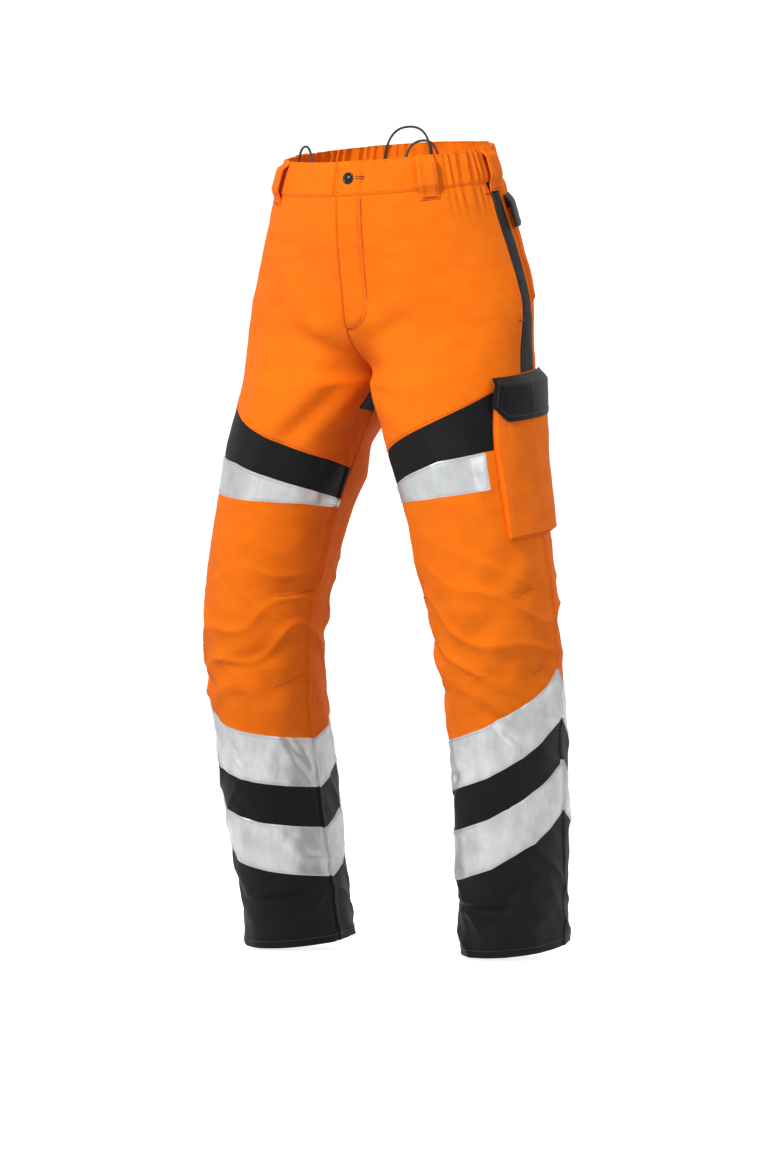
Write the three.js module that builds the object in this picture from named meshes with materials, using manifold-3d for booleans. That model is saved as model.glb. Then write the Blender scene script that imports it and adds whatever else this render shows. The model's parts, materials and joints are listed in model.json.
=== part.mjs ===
// High-visibility protective trousers for chainsaw work, sewn from panels of cloth.
//
// Units are millimetres, +Z is up, the wearer faces -Y and the wearer's left is +X.
// The origin is the centre of the waist opening, at the top edge of the waistband at the side.
//
// A place on the cloth is given by (side, u, height, offset):
//   side    1 for the wearer's left, -1 for the right
//   u       0 at the inseam seen from behind, 0.25 back, 0.5 outseam, 0.75 front, 1 inseam again;
//           above the crotch 0 is the centre back and 1 the centre front
//   height  distance above the hem along the leg
//   offset  distance outwards from the outer face of the main cloth
import * as THREE from "three";
import { mergeVertices } from "three/addons/utils/BufferGeometryUtils.js";
import Module from "manifold-3d";

const wasm = await Module();
wasm.setup();

// ---- overall sizes ----
const OUTSEAM = 1098;
const INSEAM = 790;
const KNEE_HEIGHT = 450;
const CALF_HEIGHT = 300;
const WAIST_WIDTH = 304;
const WAIST_DEPTH = 238;
const HIP_WIDTH = 440;
const CROTCH_DEPTH = 256;
const THIGH_WIDTH = 192;
const THIGH_DEPTH = 232;
const KNEE_WIDTH = 168;
const KNEE_DEPTH = 188;
const CALF_WIDTH = 146;
const CALF_DEPTH = 190;
const HEM_WIDTH = 142;
const HEM_DEPTH = 174;

// ---- stance: the distance between the legs' centres, and how far back each one lies ----
const THIGH_SPREAD = 282;
const KNEE_SPREAD = 388;
const CALF_SPREAD = 396;
const HEM_SPREAD = 360;
const CROTCH_SPREAD = 224;
const CROTCH_BACK = -8;
const THIGH_BACK = -18;
const KNEE_BACK = -28;
const CALF_BACK = -2;
const HEM_BACK = 41;
const HEM_TILT = 0.13;
const WAIST_TILT = 0.164;

// ---- cloth and gaps ----
const CLOTH = 2.6;
const BAND_CLOTH = 4;
const BAND_PROUD = 1;
const TAPE_CLOTH = 0.9;
const FACING_CLOTH = 1.3;
const PAD_CLOTH = 6;
const SEAM_GAP = 0.8;
const LAYER_GAP = 0.9;

// ---- panels ----
const WAISTBAND_HEIGHT = 46;
const STRIP_WIDTH_U = 0.07;
const GUSSET_U = 0.12;
const GUSSET_DROP = 45;
const GUSSET_RISE = 40;
const KNEE_HALF_TOP = 60;
const KNEE_HALF_BOTTOM = 55;
const KNEE_BACK_EXTRA = 25;
const SHIN_TAPE_WIDTH = 70;
const SHIN_TAPE_PITCH = 127;
const HEM_FACING_HEIGHT = 40;
const PAD_BOTTOM = 60;
const PAD_TOP = 113;
const PAD_STANDOFF = 10.5;
const POCKET_BAG_STANDOFF = 3.4;

// ---- pockets, loops and fastenings ----
const CARGO_WIDTH = 150;
const CARGO_HEIGHT = 200;
const CARGO_DEPTH = 14;
const CARGO_FLAP_HEIGHT = 62;
const CARGO_FLAP_CHAMFER = 20;
const CARGO_CENTRE_U = 0.48;
const POCKET_CLOTH = 2.2;
const POCKET_SIDE_SLOPE = 3;
const FLAP_LAP = 6;
const MOUTH_DROP = 18;
const REAR_POCKET_WIDTH = 130;
const REAR_POCKET_HEIGHT = 130;
const REAR_POCKET_DEPTH = 5.2;
const REAR_FLAP_HEIGHT = 46;
const REAR_CENTRE_U = 0.295;
const LOOP_WIDTH = 26;
const LOOP_DROP = 14;
const LOOP_GAP = 8;
const LOOP_CLOTH = 2.2;
const BRACE_CORD = 3;
const BRACE_RISE = 26;
const BRACE_SEWN = 30;
const FLY_WIDTH = 36;
const FLY_LENGTH = 160;
const ZIP_LENGTH = 144;
const ZIP_X = 14;
const ZIP_TEETH_WIDTH = 4.6;
const ZIP_TEETH_THICK = 1.6;
const ZIP_TAPE_WIDTH = 12;
const ZIP_TAPE_THICK = 0.8;
const ZIP_SETBACK = 10.8;
const SLIDER_WIDTH = 10;
const SLIDER_LENGTH = 12;
const SLIDER_PLATE = 1.2;
const SLIDER_SLOT = 2.4;
const BUTTON_X = 18;
const BUTTON_RADIUS = 8.5;
const BUTTON_HEIGHT = 3.6;
const SHANK_RADIUS = 2;
const NAIL_RADIUS = 1.1;
const HOLE_GAP = 0.4;
const BUTTONHOLE_LENGTH = 20;
const UNDERLAP = 38;
const LAP_STEP = { from: 8, to: 4 };

const COLOURS = { orange: 0xf57d14, black: 0x212123, silver: 0xc8cacc, pad: 0xe8e4d8, metal: 0x8a8d90 };

const { lerp, smoothstep, clamp } = THREE.MathUtils;
const RISE = OUTSEAM - INSEAM;
const BAND_BOTTOM = OUTSEAM - WAISTBAND_HEIGHT;
const CROTCH_BLEND = 0.36 * RISE;
const STRIP_TOP_U = 0.525;
const FRONT_US = [0.5, 0.55, 0.6, 0.65, 0.7, 0.75, 0.8, 0.85, 0.9, 0.95, 1];
const SHIN_PEAK_U = 0.46;
const BACK_US = [0, 0.06, GUSSET_U, 0.2, 0.28, 0.37, SHIN_PEAK_U, 0.5];
const RING_US = [...BACK_US, ...FRONT_US.slice(1)];

// ---- the outer face of the cloth ----

/** A smooth table over height: rows of [height, value, value, ...]. */
function heightTable(rows) {
  const heights = rows.map((row) => row[0]);
  const values = rows.flatMap((row) => row.slice(1));
  const interpolant = new THREE.CubicInterpolant(heights, values, rows[0].length - 1);
  return (height) => [...interpolant.evaluate(clamp(height, heights[0], heights.at(-1)))];
}

/** Straight lines through [u, value] points. */
function profile(points) {
  return (u) => {
    const k = clamp(points.findIndex((p) => p[0] >= u), 1, points.length - 1);
    const [a, b] = [points[k - 1], points[k]];
    return lerp(a[1], b[1], clamp((u - a[0]) / (b[0] - a[0]), 0, 1));
  };
}

// height, distance of the centre from the middle plane, how far back it is, half width, half depth
const legTable = heightTable([
  [0, HEM_SPREAD / 2, HEM_BACK, HEM_WIDTH / 2, HEM_DEPTH / 2],
  [CALF_HEIGHT, CALF_SPREAD / 2, CALF_BACK, CALF_WIDTH / 2, CALF_DEPTH / 2],
  [KNEE_HEIGHT, KNEE_SPREAD / 2, KNEE_BACK, KNEE_WIDTH / 2, KNEE_DEPTH / 2],
  [lerp(KNEE_HEIGHT, INSEAM, 0.68), THIGH_SPREAD / 2, THIGH_BACK, THIGH_WIDTH / 2, THIGH_DEPTH / 2],
  [INSEAM, CROTCH_SPREAD / 2, CROTCH_BACK, CROTCH_SPREAD / 2, CROTCH_DEPTH / 2],
]);

// height, half width, depth in front of the middle, depth behind it
const pelvisTable = heightTable([
  [INSEAM, HIP_WIDTH / 2 - 5, 107, 136],
  [INSEAM + 0.3 * RISE, HIP_WIDTH / 2, 110, 134],
  [INSEAM + 0.52 * RISE, HIP_WIDTH / 2 - 17, 119, 130],
  [INSEAM + 0.72 * RISE, lerp(WAIST_WIDTH, HIP_WIDTH, 0.43) / 2, 126, 127],
  [BAND_BOTTOM, lerp(WAIST_WIDTH, HIP_WIDTH, 0.22) / 2, WAIST_DEPTH / 2 + 8, WAIST_DEPTH / 2 + 4],
  [OUTSEAM, WAIST_WIDTH / 2, WAIST_DEPTH / 2, WAIST_DEPTH / 2],
]);

/** The left half's outline at a height, in plan. Past 0 or 1, u crosses the middle plane. */
function outline(u, height) {
  const [cx, cy, halfWidth, halfDepth] = legTable(height);
  const around = Math.PI - 2 * Math.PI * u;
  const leg = new THREE.Vector2(cx + halfWidth * Math.cos(around), cy + halfDepth * Math.sin(around));
  const middle = 1 - (1 - clamp((height - INSEAM) / CROTCH_BLEND, 0, 1)) ** 2.4;
  const flank = smoothstep(height, INSEAM - CROTCH_BLEND, INSEAM + CROTCH_BLEND);
  const share = lerp(middle, flank, Math.sin(Math.PI * u) ** 2);
  const [hipWidth, front, back] = pelvisTable(height);
  const turn = Math.PI * (1 - u);
  const depth = Math.cos(turn) > 0 ? front : back;
  return leg.lerp(new THREE.Vector2(hipWidth * Math.sin(turn), -depth * Math.cos(turn)), share);
}

/** Millimetres of cloth for each unit of u. */
function stretch(u, height) {
  const step = 1e-3;
  return outline(u + step, height).distanceTo(outline(u - step, height)) / (2 * step);
}

function surface(side, u, height, offset = 0, keepApart = true) {
  const step = 1e-3;
  const along = outline(u + step, height).sub(outline(u - step, height)).normalize();
  const place = outline(u, height).add(new THREE.Vector2(-along.y, along.x).multiplyScalar(offset));
  if (keepApart) {
    place.x = Math.max(place.x, SEAM_GAP / 2);
  }
  const tilt = lerp(HEM_TILT, WAIST_TILT, height / OUTSEAM);
  return new THREE.Vector3(side * place.x, place.y, height + tilt * place.y);
}

/** The direction straight out of the cloth. */
function outwardAt(side, u, height) {
  const upwards = surface(side, u, height + 1, 0, false).sub(surface(side, u, height - 1, 0, false));
  const along = surface(side, u + 1e-3, height, 0, false).sub(surface(side, u - 1e-3, height, 0, false));
  return upwards.cross(along).multiplyScalar(side).normalize();
}

/** The u at a distance across from the centre front, on the half that the distance points to. */
function frontU(across, height) {
  return 1 - across / stretch(1, height);
}

// ---- closed bodies ----

function toGeometry(positions, indices) {
  const geometry = new THREE.BufferGeometry();
  geometry.setAttribute("position", new THREE.Float32BufferAttribute(positions, 3));
  let volume = 0;
  const corner = (k) => new THREE.Vector3().fromArray(positions, 3 * indices[k]);
  for (let k = 0; k < indices.length; k += 3) {
    volume += corner(k).dot(corner(k + 1).cross(corner(k + 2)));
  }
  geometry.setIndex(volume < 0 ? indices.reverse() : indices);
  return geometry;
}

/** A sheet with thickness between two grids of points; a ring joins its last column to its first. */
function sheet(columns, rows, outerAt, innerAt, ring = false) {
  const across = ring ? columns : columns + 1;
  const positions = [];
  for (const at of [outerAt, innerAt]) {
    for (let j = 0; j <= rows; j++) {
      for (let i = 0; i < across; i++) {
        positions.push(...at(i, j).toArray());
      }
    }
  }
  const outer = (i, j) => j * across + (i % across);
  const inner = (i, j) => outer(i, j) + across * (rows + 1);
  const indices = [];
  const quad = (a, b, c, d) => indices.push(a, b, c, a, c, d);
  for (let i = 0; i < columns; i++) {
    for (let j = 0; j < rows; j++) {
      quad(outer(i, j), outer(i, j + 1), outer(i + 1, j + 1), outer(i + 1, j));
      quad(inner(i, j), inner(i + 1, j), inner(i + 1, j + 1), inner(i, j + 1));
    }
    quad(outer(i, 0), outer(i + 1, 0), inner(i + 1, 0), inner(i, 0));
    quad(outer(i + 1, rows), outer(i, rows), inner(i, rows), inner(i + 1, rows));
  }
  for (let j = 0; j < rows && !ring; j++) {
    quad(outer(0, j + 1), outer(0, j), inner(0, j), inner(0, j + 1));
    quad(outer(columns, j), outer(columns, j + 1), inner(columns, j + 1), inner(columns, j));
  }
  return toGeometry(positions, indices);
}

/**
 * A panel of cloth. us are its columns, each a u or a function of v, which runs from 0 at the
 * lower edge to 1 at the upper; low and high are its edges' heights over u; outer and inner are
 * the offsets of its faces, each a number or a function of v and u.
 */
function panel(side, { us, low, high, rows, outer = 0, inner = -CLOTH, ring = false, crosses = false }) {
  const value = (f, ...args) => (typeof f === "function" ? f(...args) : f);
  const gap = SEAM_GAP / 2;
  const at = (offset) => (i, j) => {
    const v = j / rows;
    let u = value(us[i], v);
    const lowest = value(low, u) + gap;
    const highest = value(high, u) - gap;
    const height = lerp(lowest, highest, v);
    if (!ring && (i === 0 || i === us.length - 1)) {
      u += ((i === 0 ? 1 : -1) * gap) / stretch(u, height);
    }
    return surface(side, u, height, value(offset, v, u), !crosses);
  };
  return sheet(us.length - 1, rows, at(outer), at(inner), ring);
}

/** A patch pocket: a shallow tray open at the top, with its rim against the cloth. */
function pouch(side, centreU, bottom, width, height, depth) {
  const perU = stretch(centreU, bottom + height / 2);
  const half = width / 2 / perU;
  const slope = POCKET_SIDE_SLOPE / perU;
  const wall = POCKET_CLOTH / perU;
  const columns = 7;
  const rows = 5;
  const place = (thick) => (i, j) => {
    const edge = i === 0 || i === columns;
    const inward = thick * wall * (i < columns / 2 ? 1 : -1) * (i < 2 || i > columns - 2 ? 1 : 0);
    const inset = clamp((i - 1) / (columns - 2), 0, 1);
    const u = lerp(centreU - half + slope, centreU + half - slope, inset) + inward;
    const outwards = edge ? (i === 0 ? -slope : slope) : 0;
    const raised = !edge && j > 0;
    const rise = lerp(bottom + POCKET_SIDE_SLOPE, bottom + height, Math.max(j - 1, 0) / (rows - 1));
    const lift = thick * POCKET_CLOTH * (j < 2 ? 1 : 0);
    const z = (j === 0 ? bottom : rise) + lift;
    const offset = raised ? depth - thick * POCKET_CLOTH : LAYER_GAP;
    return surface(side, u + outwards, z, offset);
  };
  return sheet(columns, rows, place(0), place(1));
}

/** A flap that hangs from its upper edge and covers a pouch's mouth. */
function pocketFlap(side, centreU, top, width, height, depth, chamfer) {
  const perU = stretch(centreU, top - height);
  const half = (width / 2 + FLAP_LAP) / perU;
  const us = [-1, -0.6, -0.2, 0.2, 0.6, 1].map((k) => centreU + k * half);
  const low = profile([[us[0], top - height], [us[4], top - height], [us[5], top - height + chamfer]]);
  const ends = (u) => ((u - centreU) / half) ** 2;
  const inner = (v, u) => LAYER_GAP + 0.4 * depth * v * ends(u) + (depth + 1) * smoothstep(1 - v, 0, 0.25);
  const outer = (v, u) => inner(v, u) + CLOTH;
  return panel(side, { us, low, high: top, rows: 4, outer, inner });
}

function toSolid(geometry) {
  const bare = geometry.clone();
  bare.deleteAttribute("normal");
  bare.deleteAttribute("uv");
  const merged = mergeVertices(bare, 1e-4);
  const vertProperties = new Float32Array(merged.attributes.position.array);
  const triVerts = new Uint32Array(merged.index.array);
  return new wasm.Manifold(new wasm.Mesh({ numProp: 3, vertProperties, triVerts }));
}

function cut(geometry, ...tools) {
  const solid = tools.reduce((rest, tool) => rest.subtract(toSolid(tool)), toSolid(geometry));
  const mesh = solid.getMesh();
  return toGeometry([...mesh.vertProperties], [...mesh.triVerts]);
}

/** A closed turned shape about +Z from [radius, z] points, which start and end on the axis. */
function turned(points, segments = 20) {
  const lathe = new THREE.LatheGeometry(points.map(([r, z]) => new THREE.Vector2(r, z)), segments);
  return lathe.rotateX(Math.PI / 2);
}

function extruded(points, depth) {
  const shape = new THREE.Shape(points.map(([x, y]) => new THREE.Vector2(x, y)));
  return new THREE.ExtrudeGeometry(shape, { depth, bevelEnabled: false });
}

// ---- the object ----

const trousers = new THREE.Group();
const garment = new THREE.Group();
garment.position.z = -OUTSEAM;
trousers.add(garment);

function add(parent, name, geometry, colour, { roughness = 0.9, metalness = 0 } = {}) {
  const material = new THREE.MeshStandardMaterial({ color: COLOURS[colour], roughness, metalness });
  const mesh = new THREE.Mesh(geometry, material);
  mesh.name = name;
  parent.add(mesh);
  return mesh;
}

const backness = (u) => Math.max(0, Math.sin(2 * Math.PI * u));
const kneeTop = (u) => KNEE_HEIGHT + KNEE_HALF_TOP + KNEE_BACK_EXTRA * backness(u);
const kneeBottom = (u) => KNEE_HEIGHT - KNEE_HALF_BOTTOM - KNEE_BACK_EXTRA * backness(u);

// The bands' edges, as drops below the crotch over u.
const bandTop = profile([[0.5, 5], [0.6, 22], [1, 126]]);
const bandBottom = profile([[0.5, 93], [0.6, 96], [0.7, 102], [0.8, 122], [0.9, 145], [1, 169]]);
const tapeBottom = profile([[0.5, 145], [0.6, 147], [0.7, 150], [0.8, 156], [0.9, 165], [1, 180]]);
const belowCrotch = (drop) => (u) => INSEAM - drop(u);

// The upper shin tape's top edge, as a drop below the knee: a peak by the outseam, a V at the inseam.
const shinDrop = profile([
  [0, 163], [0.12, 138], [0.28, 118], [0.37, 98], [SHIN_PEAK_U, 62], [0.5, 76], [0.55, 92],
  [0.6, 105], [0.7, 128], [0.8, 142], [0.9, 153], [1, 163],
]);
const shinTapeTop = (u) => KNEE_HEIGHT - shinDrop(u);
const shinSeam = (u) => shinTapeTop(u) - SHIN_TAPE_WIDTH / 2;

const gussetLow = profile([[0, INSEAM - GUSSET_DROP], [GUSSET_U, INSEAM - 1.5], [1, INSEAM - 1.5]]);
const gussetHigh = profile([[0, INSEAM + GUSSET_RISE], [GUSSET_U, INSEAM + 1.5], [1, INSEAM + 1.5]]);
const stripFront = (v) => lerp(0.5, STRIP_TOP_U, v);
const stripBack = (v) => stripFront(v) - STRIP_WIDTH_U;

function upperLeg(side, name) {
  const strip = INSEAM + 1.5;
  const firstColumn = (u) => FRONT_US.filter((k) => k > u + 1e-6);
  const frontColumns = [stripFront, ...firstColumn(STRIP_TOP_U)];
  const bodyLow = belowCrotch(bandTop);
  const cargoSide = side > 0;
  const tapeUs = cargoSide ? FRONT_US.slice(2) : FRONT_US;
  add(garment, `front_panel_${name}`, panel(side, {
    us: frontColumns, low: bodyLow, high: BAND_BOTTOM, rows: 12,
  }), "orange");
  add(garment, `side_strip_${name}`, panel(side, {
    us: [stripBack, (v) => lerp(stripBack(v), stripFront(v), 0.5), stripFront],
    low: strip, high: BAND_BOTTOM, rows: 6,
  }), "black");
  add(garment, `back_seat_${name}`, panel(side, {
    us: [...BACK_US.slice(0, -2), stripBack], low: gussetHigh, high: BAND_BOTTOM, rows: 6,
  }), "orange");
  add(garment, `crotch_gusset_${name}`, panel(side, {
    us: BACK_US.slice(0, 3), low: gussetLow, high: gussetHigh, rows: 2,
  }), "black");
  add(garment, `back_thigh_${name}`, panel(side, {
    us: BACK_US, low: kneeTop, high: gussetLow, rows: 4,
  }), "orange");
  add(garment, `thigh_band_${name}`, panel(side, {
    us: FRONT_US, low: belowCrotch(bandBottom), high: bodyLow, rows: 2,
  }), "black");
  add(garment, `front_thigh_${name}`, panel(side, {
    us: FRONT_US, low: kneeTop, high: belowCrotch(bandBottom), rows: 3,
  }), "orange");
  add(garment, `thigh_tape_${name}`, panel(side, {
    us: tapeUs, low: belowCrotch(tapeBottom), high: belowCrotch(bandBottom), rows: 1,
    outer: LAYER_GAP + TAPE_CLOTH, inner: LAYER_GAP,
  }), "silver", { roughness: 0.45 });
}

function lowerLeg(side, name) {
  const ring = { us: RING_US, ring: true };
  add(garment, `knee_sleeve_${name}`, panel(side, {
    ...ring, low: kneeBottom, high: kneeTop, rows: 3,
  }), "orange");
  add(garment, `shin_panel_${name}`, panel(side, { ...ring, low: shinSeam, high: kneeBottom, rows: 2 }), "orange");
  add(garment, `lower_leg_${name}`, panel(side, { ...ring, low: -SEAM_GAP / 2, high: shinSeam, rows: 5 }), "black");
  for (const [part, drop] of [["upper", 0], ["lower", SHIN_TAPE_PITCH]]) {
    add(garment, `shin_tape_${part}_${name}`, panel(side, {
      ...ring, low: (u) => shinTapeTop(u) - drop - SHIN_TAPE_WIDTH, high: (u) => shinTapeTop(u) - drop,
      rows: 1, outer: LAYER_GAP + TAPE_CLOTH, inner: LAYER_GAP,
    }), "silver", { roughness: 0.45 });
  }
  add(garment, `hem_facing_${name}`, panel(side, {
    ...ring, low: SEAM_GAP, high: HEM_FACING_HEIGHT, rows: 1,
    outer: -CLOTH - LAYER_GAP, inner: -CLOTH - LAYER_GAP - FACING_CLOTH,
  }), "black");
}

function linings(side, name) {
  const pad = -CLOTH - PAD_STANDOFF;
  add(garment, `cut_pad_${name}`, panel(side, {
    us: FRONT_US.slice(1, -3), low: PAD_BOTTOM, high: OUTSEAM - PAD_TOP, rows: 18,
    outer: pad, inner: pad - PAD_CLOTH,
  }), "pad");
  const bag = -CLOTH - POCKET_BAG_STANDOFF;
  add(garment, `pocket_bag_${name}`, panel(side, {
    us: FRONT_US.slice(1, 6), low: INSEAM + 0.28 * RISE, high: BAND_BOTTOM - 4, rows: 5,
    outer: bag, inner: bag - FACING_CLOTH,
  }), "black");
}

function pockets() {
  const cargoTop = INSEAM - 1;
  const cargoBottom = cargoTop - MOUTH_DROP - CARGO_HEIGHT;
  add(garment, "cargo_pocket",
    pouch(1, CARGO_CENTRE_U, cargoBottom, CARGO_WIDTH, CARGO_HEIGHT, CARGO_DEPTH), "orange");
  add(garment, "cargo_flap", pocketFlap(
    1, CARGO_CENTRE_U, cargoTop, CARGO_WIDTH, CARGO_FLAP_HEIGHT, CARGO_DEPTH, CARGO_FLAP_CHAMFER,
  ), "black");
  const rearTop = BAND_BOTTOM - LOOP_DROP - 8;
  const rearBottom = rearTop - MOUTH_DROP - REAR_POCKET_HEIGHT;
  add(garment, "rear_pocket",
    pouch(1, REAR_CENTRE_U, rearBottom, REAR_POCKET_WIDTH, REAR_POCKET_HEIGHT, REAR_POCKET_DEPTH), "orange");
  add(garment, "rear_flap", pocketFlap(
    1, REAR_CENTRE_U, rearTop, REAR_POCKET_WIDTH, REAR_FLAP_HEIGHT, REAR_POCKET_DEPTH, 0,
  ), "black");
}

/** The button's axis: a group with +Z outwards, on the waistband's outer face. */
function buttonGroup(height) {
  const u = frontU(BUTTON_X, height);
  const group = new THREE.Group();
  group.position.copy(surface(1, u, height, BAND_PROUD));
  group.quaternion.setFromUnitVectors(new THREE.Vector3(0, 0, 1), outwardAt(1, u, height));
  garment.add(group);
  group.updateMatrix();
  return group;
}

function waistband() {
  const band = { low: BAND_BOTTOM, high: OUTSEAM, rows: 2, crosses: true };
  const faces = { outer: BAND_PROUD, inner: BAND_PROUD - BAND_CLOTH };
  const button = buttonGroup(OUTSEAM - WAISTBAND_HEIGHT / 2);
  const placed = (geometry) => geometry.applyMatrix4(button.matrix);
  const reach = 4 * BAND_CLOTH;
  const slot = new THREE.BoxGeometry(BUTTONHOLE_LENGTH, 2 * (SHANK_RADIUS + HOLE_GAP), reach);
  slot.translate(BUTTONHOLE_LENGTH / 2 - SHANK_RADIUS - HOLE_GAP, 0, 0);
  const tabEnd = frontU(-2, OUTSEAM);
  const left = panel(1, { ...band, ...faces, us: [...FRONT_US.slice(0, -1), tabEnd] });
  add(garment, "waistband_front_left", cut(left, placed(slot)), "orange");

  // The right end steps in behind the left and runs on under it.
  const step = 1 + 2 * (frontU(LAP_STEP.from, OUTSEAM) - 1);
  const stepEnd = frontU(LAP_STEP.to, OUTSEAM);
  const depth = (u) => -(BAND_CLOTH + LAYER_GAP) * smoothstep(u, step, stepEnd);
  const lapXs = [(LAP_STEP.from + BUTTON_X) / 2, BUTTON_X, UNDERLAP];
  const lapUs = [step, stepEnd, ...lapXs.map((x) => 2 - frontU(x, OUTSEAM))];
  const right = panel(-1, {
    ...band, us: [...FRONT_US.slice(0, -1), ...lapUs],
    outer: (v, u) => BAND_PROUD + depth(u), inner: (v, u) => BAND_PROUD - BAND_CLOTH + depth(u),
  });
  const nailHole = turned([[0, -reach], [NAIL_RADIUS + HOLE_GAP, -reach], [NAIL_RADIUS + HOLE_GAP, 0], [0, 0]]);
  add(garment, "waistband_front_right", cut(right, placed(nailHole)), "orange");
  const backUs = BACK_US.slice(1).map((u) => -u).reverse();
  add(garment, "waistband_back", panel(1, { ...band, ...faces, us: [...backUs, ...BACK_US] }), "orange");

  const shankEnd = -BAND_CLOTH - LAYER_GAP + HOLE_GAP;
  const head = LAYER_GAP;
  add(button, "waist_button", turned([
    [0, shankEnd], [SHANK_RADIUS, shankEnd], [SHANK_RADIUS, head], [BUTTON_RADIUS - 1, head],
    [BUTTON_RADIUS, head + 1], [0.85 * BUTTON_RADIUS, head + 0.6 * BUTTON_HEIGHT],
    [0.5 * BUTTON_RADIUS, head + 0.92 * BUTTON_HEIGHT], [0, head + BUTTON_HEIGHT],
  ]), "black", { roughness: 0.2 });
  const underlapInside = -2 * BAND_CLOTH - LAYER_GAP;
  const disc = underlapInside - HOLE_GAP;
  add(button, "button_rivet", turned([
    [0, disc - 1.2], [2.4 * SHANK_RADIUS, disc - 1.2], [2.4 * SHANK_RADIUS, disc],
    [NAIL_RADIUS, disc], [NAIL_RADIUS, shankEnd - HOLE_GAP], [0, shankEnd - HOLE_GAP],
  ]), "metal", { roughness: 0.35, metalness: 1 });
}

/** A belt loop: a strip sewn down at both ends, standing off the waistband between them. */
function beltLoop(name, side, u) {
  const half = LOOP_WIDTH / 2 / stretch(u, BAND_BOTTOM);
  const low = BAND_BOTTOM - LOOP_DROP;
  const arch = (v) => smoothstep(v, 0.1, 0.34) * (1 - smoothstep(v, 0.74, 0.94));
  const inner = (v) => LAYER_GAP + BAND_PROUD * smoothstep(v, 0, 0.15) + LOOP_GAP * arch(v);
  add(garment, name, panel(side, {
    us: [u - half, u, u + half], low, high: OUTSEAM, rows: 10,
    inner, outer: (v) => inner(v) + LOOP_CLOTH, crosses: true,
  }), "orange");
}

/** A cord loop for braces: both ends sewn inside the waistband, the middle arching above it. */
function braceLoop(name, fromU, toU) {
  const inside = BAND_PROUD - BAND_CLOTH - 2.5 * LAYER_GAP - BRACE_CORD / 2;
  const at = (u, height, lean = 0) => surface(1, u, height, inside - lean, false);
  const crown = OUTSEAM + BRACE_RISE - BRACE_CORD / 2;
  const points = [
    at(fromU, OUTSEAM - BRACE_SEWN),
    at(fromU, OUTSEAM - BRACE_SEWN / 2),
    at(lerp(fromU, toU, 0.03), OUTSEAM + 4),
    at(lerp(fromU, toU, 0.22), lerp(OUTSEAM, crown, 0.86)),
    at(lerp(fromU, toU, 0.5), crown, 2),
    at(lerp(fromU, toU, 0.78), lerp(OUTSEAM, crown, 0.86)),
    at(lerp(fromU, toU, 0.97), OUTSEAM + 4),
    at(toU, OUTSEAM - BRACE_SEWN / 2),
    at(toU, OUTSEAM - BRACE_SEWN),
  ];
  const section = new THREE.Shape();
  section.absarc(0, 0, BRACE_CORD / 2, 0, 2 * Math.PI);
  const extrudePath = new THREE.CatmullRomCurve3(points, false, "centripetal");
  add(garment, name, new THREE.ExtrudeGeometry(section, { curveSegments: 4, steps: 26, extrudePath }), "black");
}

/** The fly, with a straight zip behind it: the group's -Z runs down the zip, its -Y is outwards. */
function fly() {
  const top = BAND_BOTTOM - 2;
  const bottom = top - FLY_LENGTH;
  const flyU = frontU(FLY_WIDTH, top);
  const facing = -CLOTH - 2 * LAYER_GAP;
  add(garment, "fly_facing", panel(1, {
    us: [flyU, lerp(flyU, 1, 0.5), 1], low: bottom, high: top, rows: 6,
    outer: facing, inner: facing - FACING_CLOTH,
  }), "orange");
  const shield = -CLOTH - 2 * ZIP_SETBACK + 6;
  add(garment, "fly_shield", panel(1, {
    us: [flyU, lerp(flyU, 1, 0.5), 1, frontU(-8, top)], low: bottom, high: top, rows: 4,
    outer: shield, inner: shield - FACING_CLOTH, crosses: true,
  }), "orange");

  const zipTop = surface(1, frontU(ZIP_X, top), top - 4, -ZIP_SETBACK);
  const zipEnd = surface(1, frontU(ZIP_X, top), top - 4 - ZIP_LENGTH, -ZIP_SETBACK);
  const zip = new THREE.Group();
  zip.position.copy(zipTop);
  zip.rotation.x = Math.atan2(zipEnd.y - zipTop.y, zipTop.z - zipEnd.z);
  garment.add(zip);
  const length = zipTop.distanceTo(zipEnd);
  const tapeShift = ZIP_TEETH_WIDTH / 2 + LAYER_GAP + ZIP_TAPE_WIDTH / 2;
  for (const [name, sign] of [["left", 1], ["right", -1]]) {
    const tape = new THREE.BoxGeometry(ZIP_TAPE_WIDTH, ZIP_TAPE_THICK, length);
    add(zip, `zip_tape_${name}`, tape, "black").position.set(sign * tapeShift, 0, -length / 2);
  }
  const chainLength = length - SLIDER_LENGTH - LAYER_GAP;
  const chain = new THREE.BoxGeometry(ZIP_TEETH_WIDTH, ZIP_TEETH_THICK, chainLength);
  add(zip, "zip_chain", chain, "metal", { metalness: 1 }).position.z = chainLength / 2 - length;
  const [w, s, p, web] = [SLIDER_WIDTH / 2, SLIDER_SLOT / 2, SLIDER_PLATE, 1.2];
  const slider = extruded([
    [-w, -s - p], [w, -s - p], [w, -s], [web, -s], [web, s], [w, s],
    [w, s + p], [-w, s + p], [-w, s], [-web, s], [-web, -s], [-w, -s],
  ], SLIDER_LENGTH);
  add(zip, "zip_slider", slider, "metal", { metalness: 1 }).position.z = -SLIDER_LENGTH;
  const pull = new THREE.BoxGeometry(5, SLIDER_PLATE, 22);
  add(zip, "zip_pull", pull, "metal", { metalness: 1 })
    .position.set(0, -s - p - LAYER_GAP / 2 - SLIDER_PLATE / 2, -SLIDER_LENGTH / 2 - 11);
}

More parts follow.
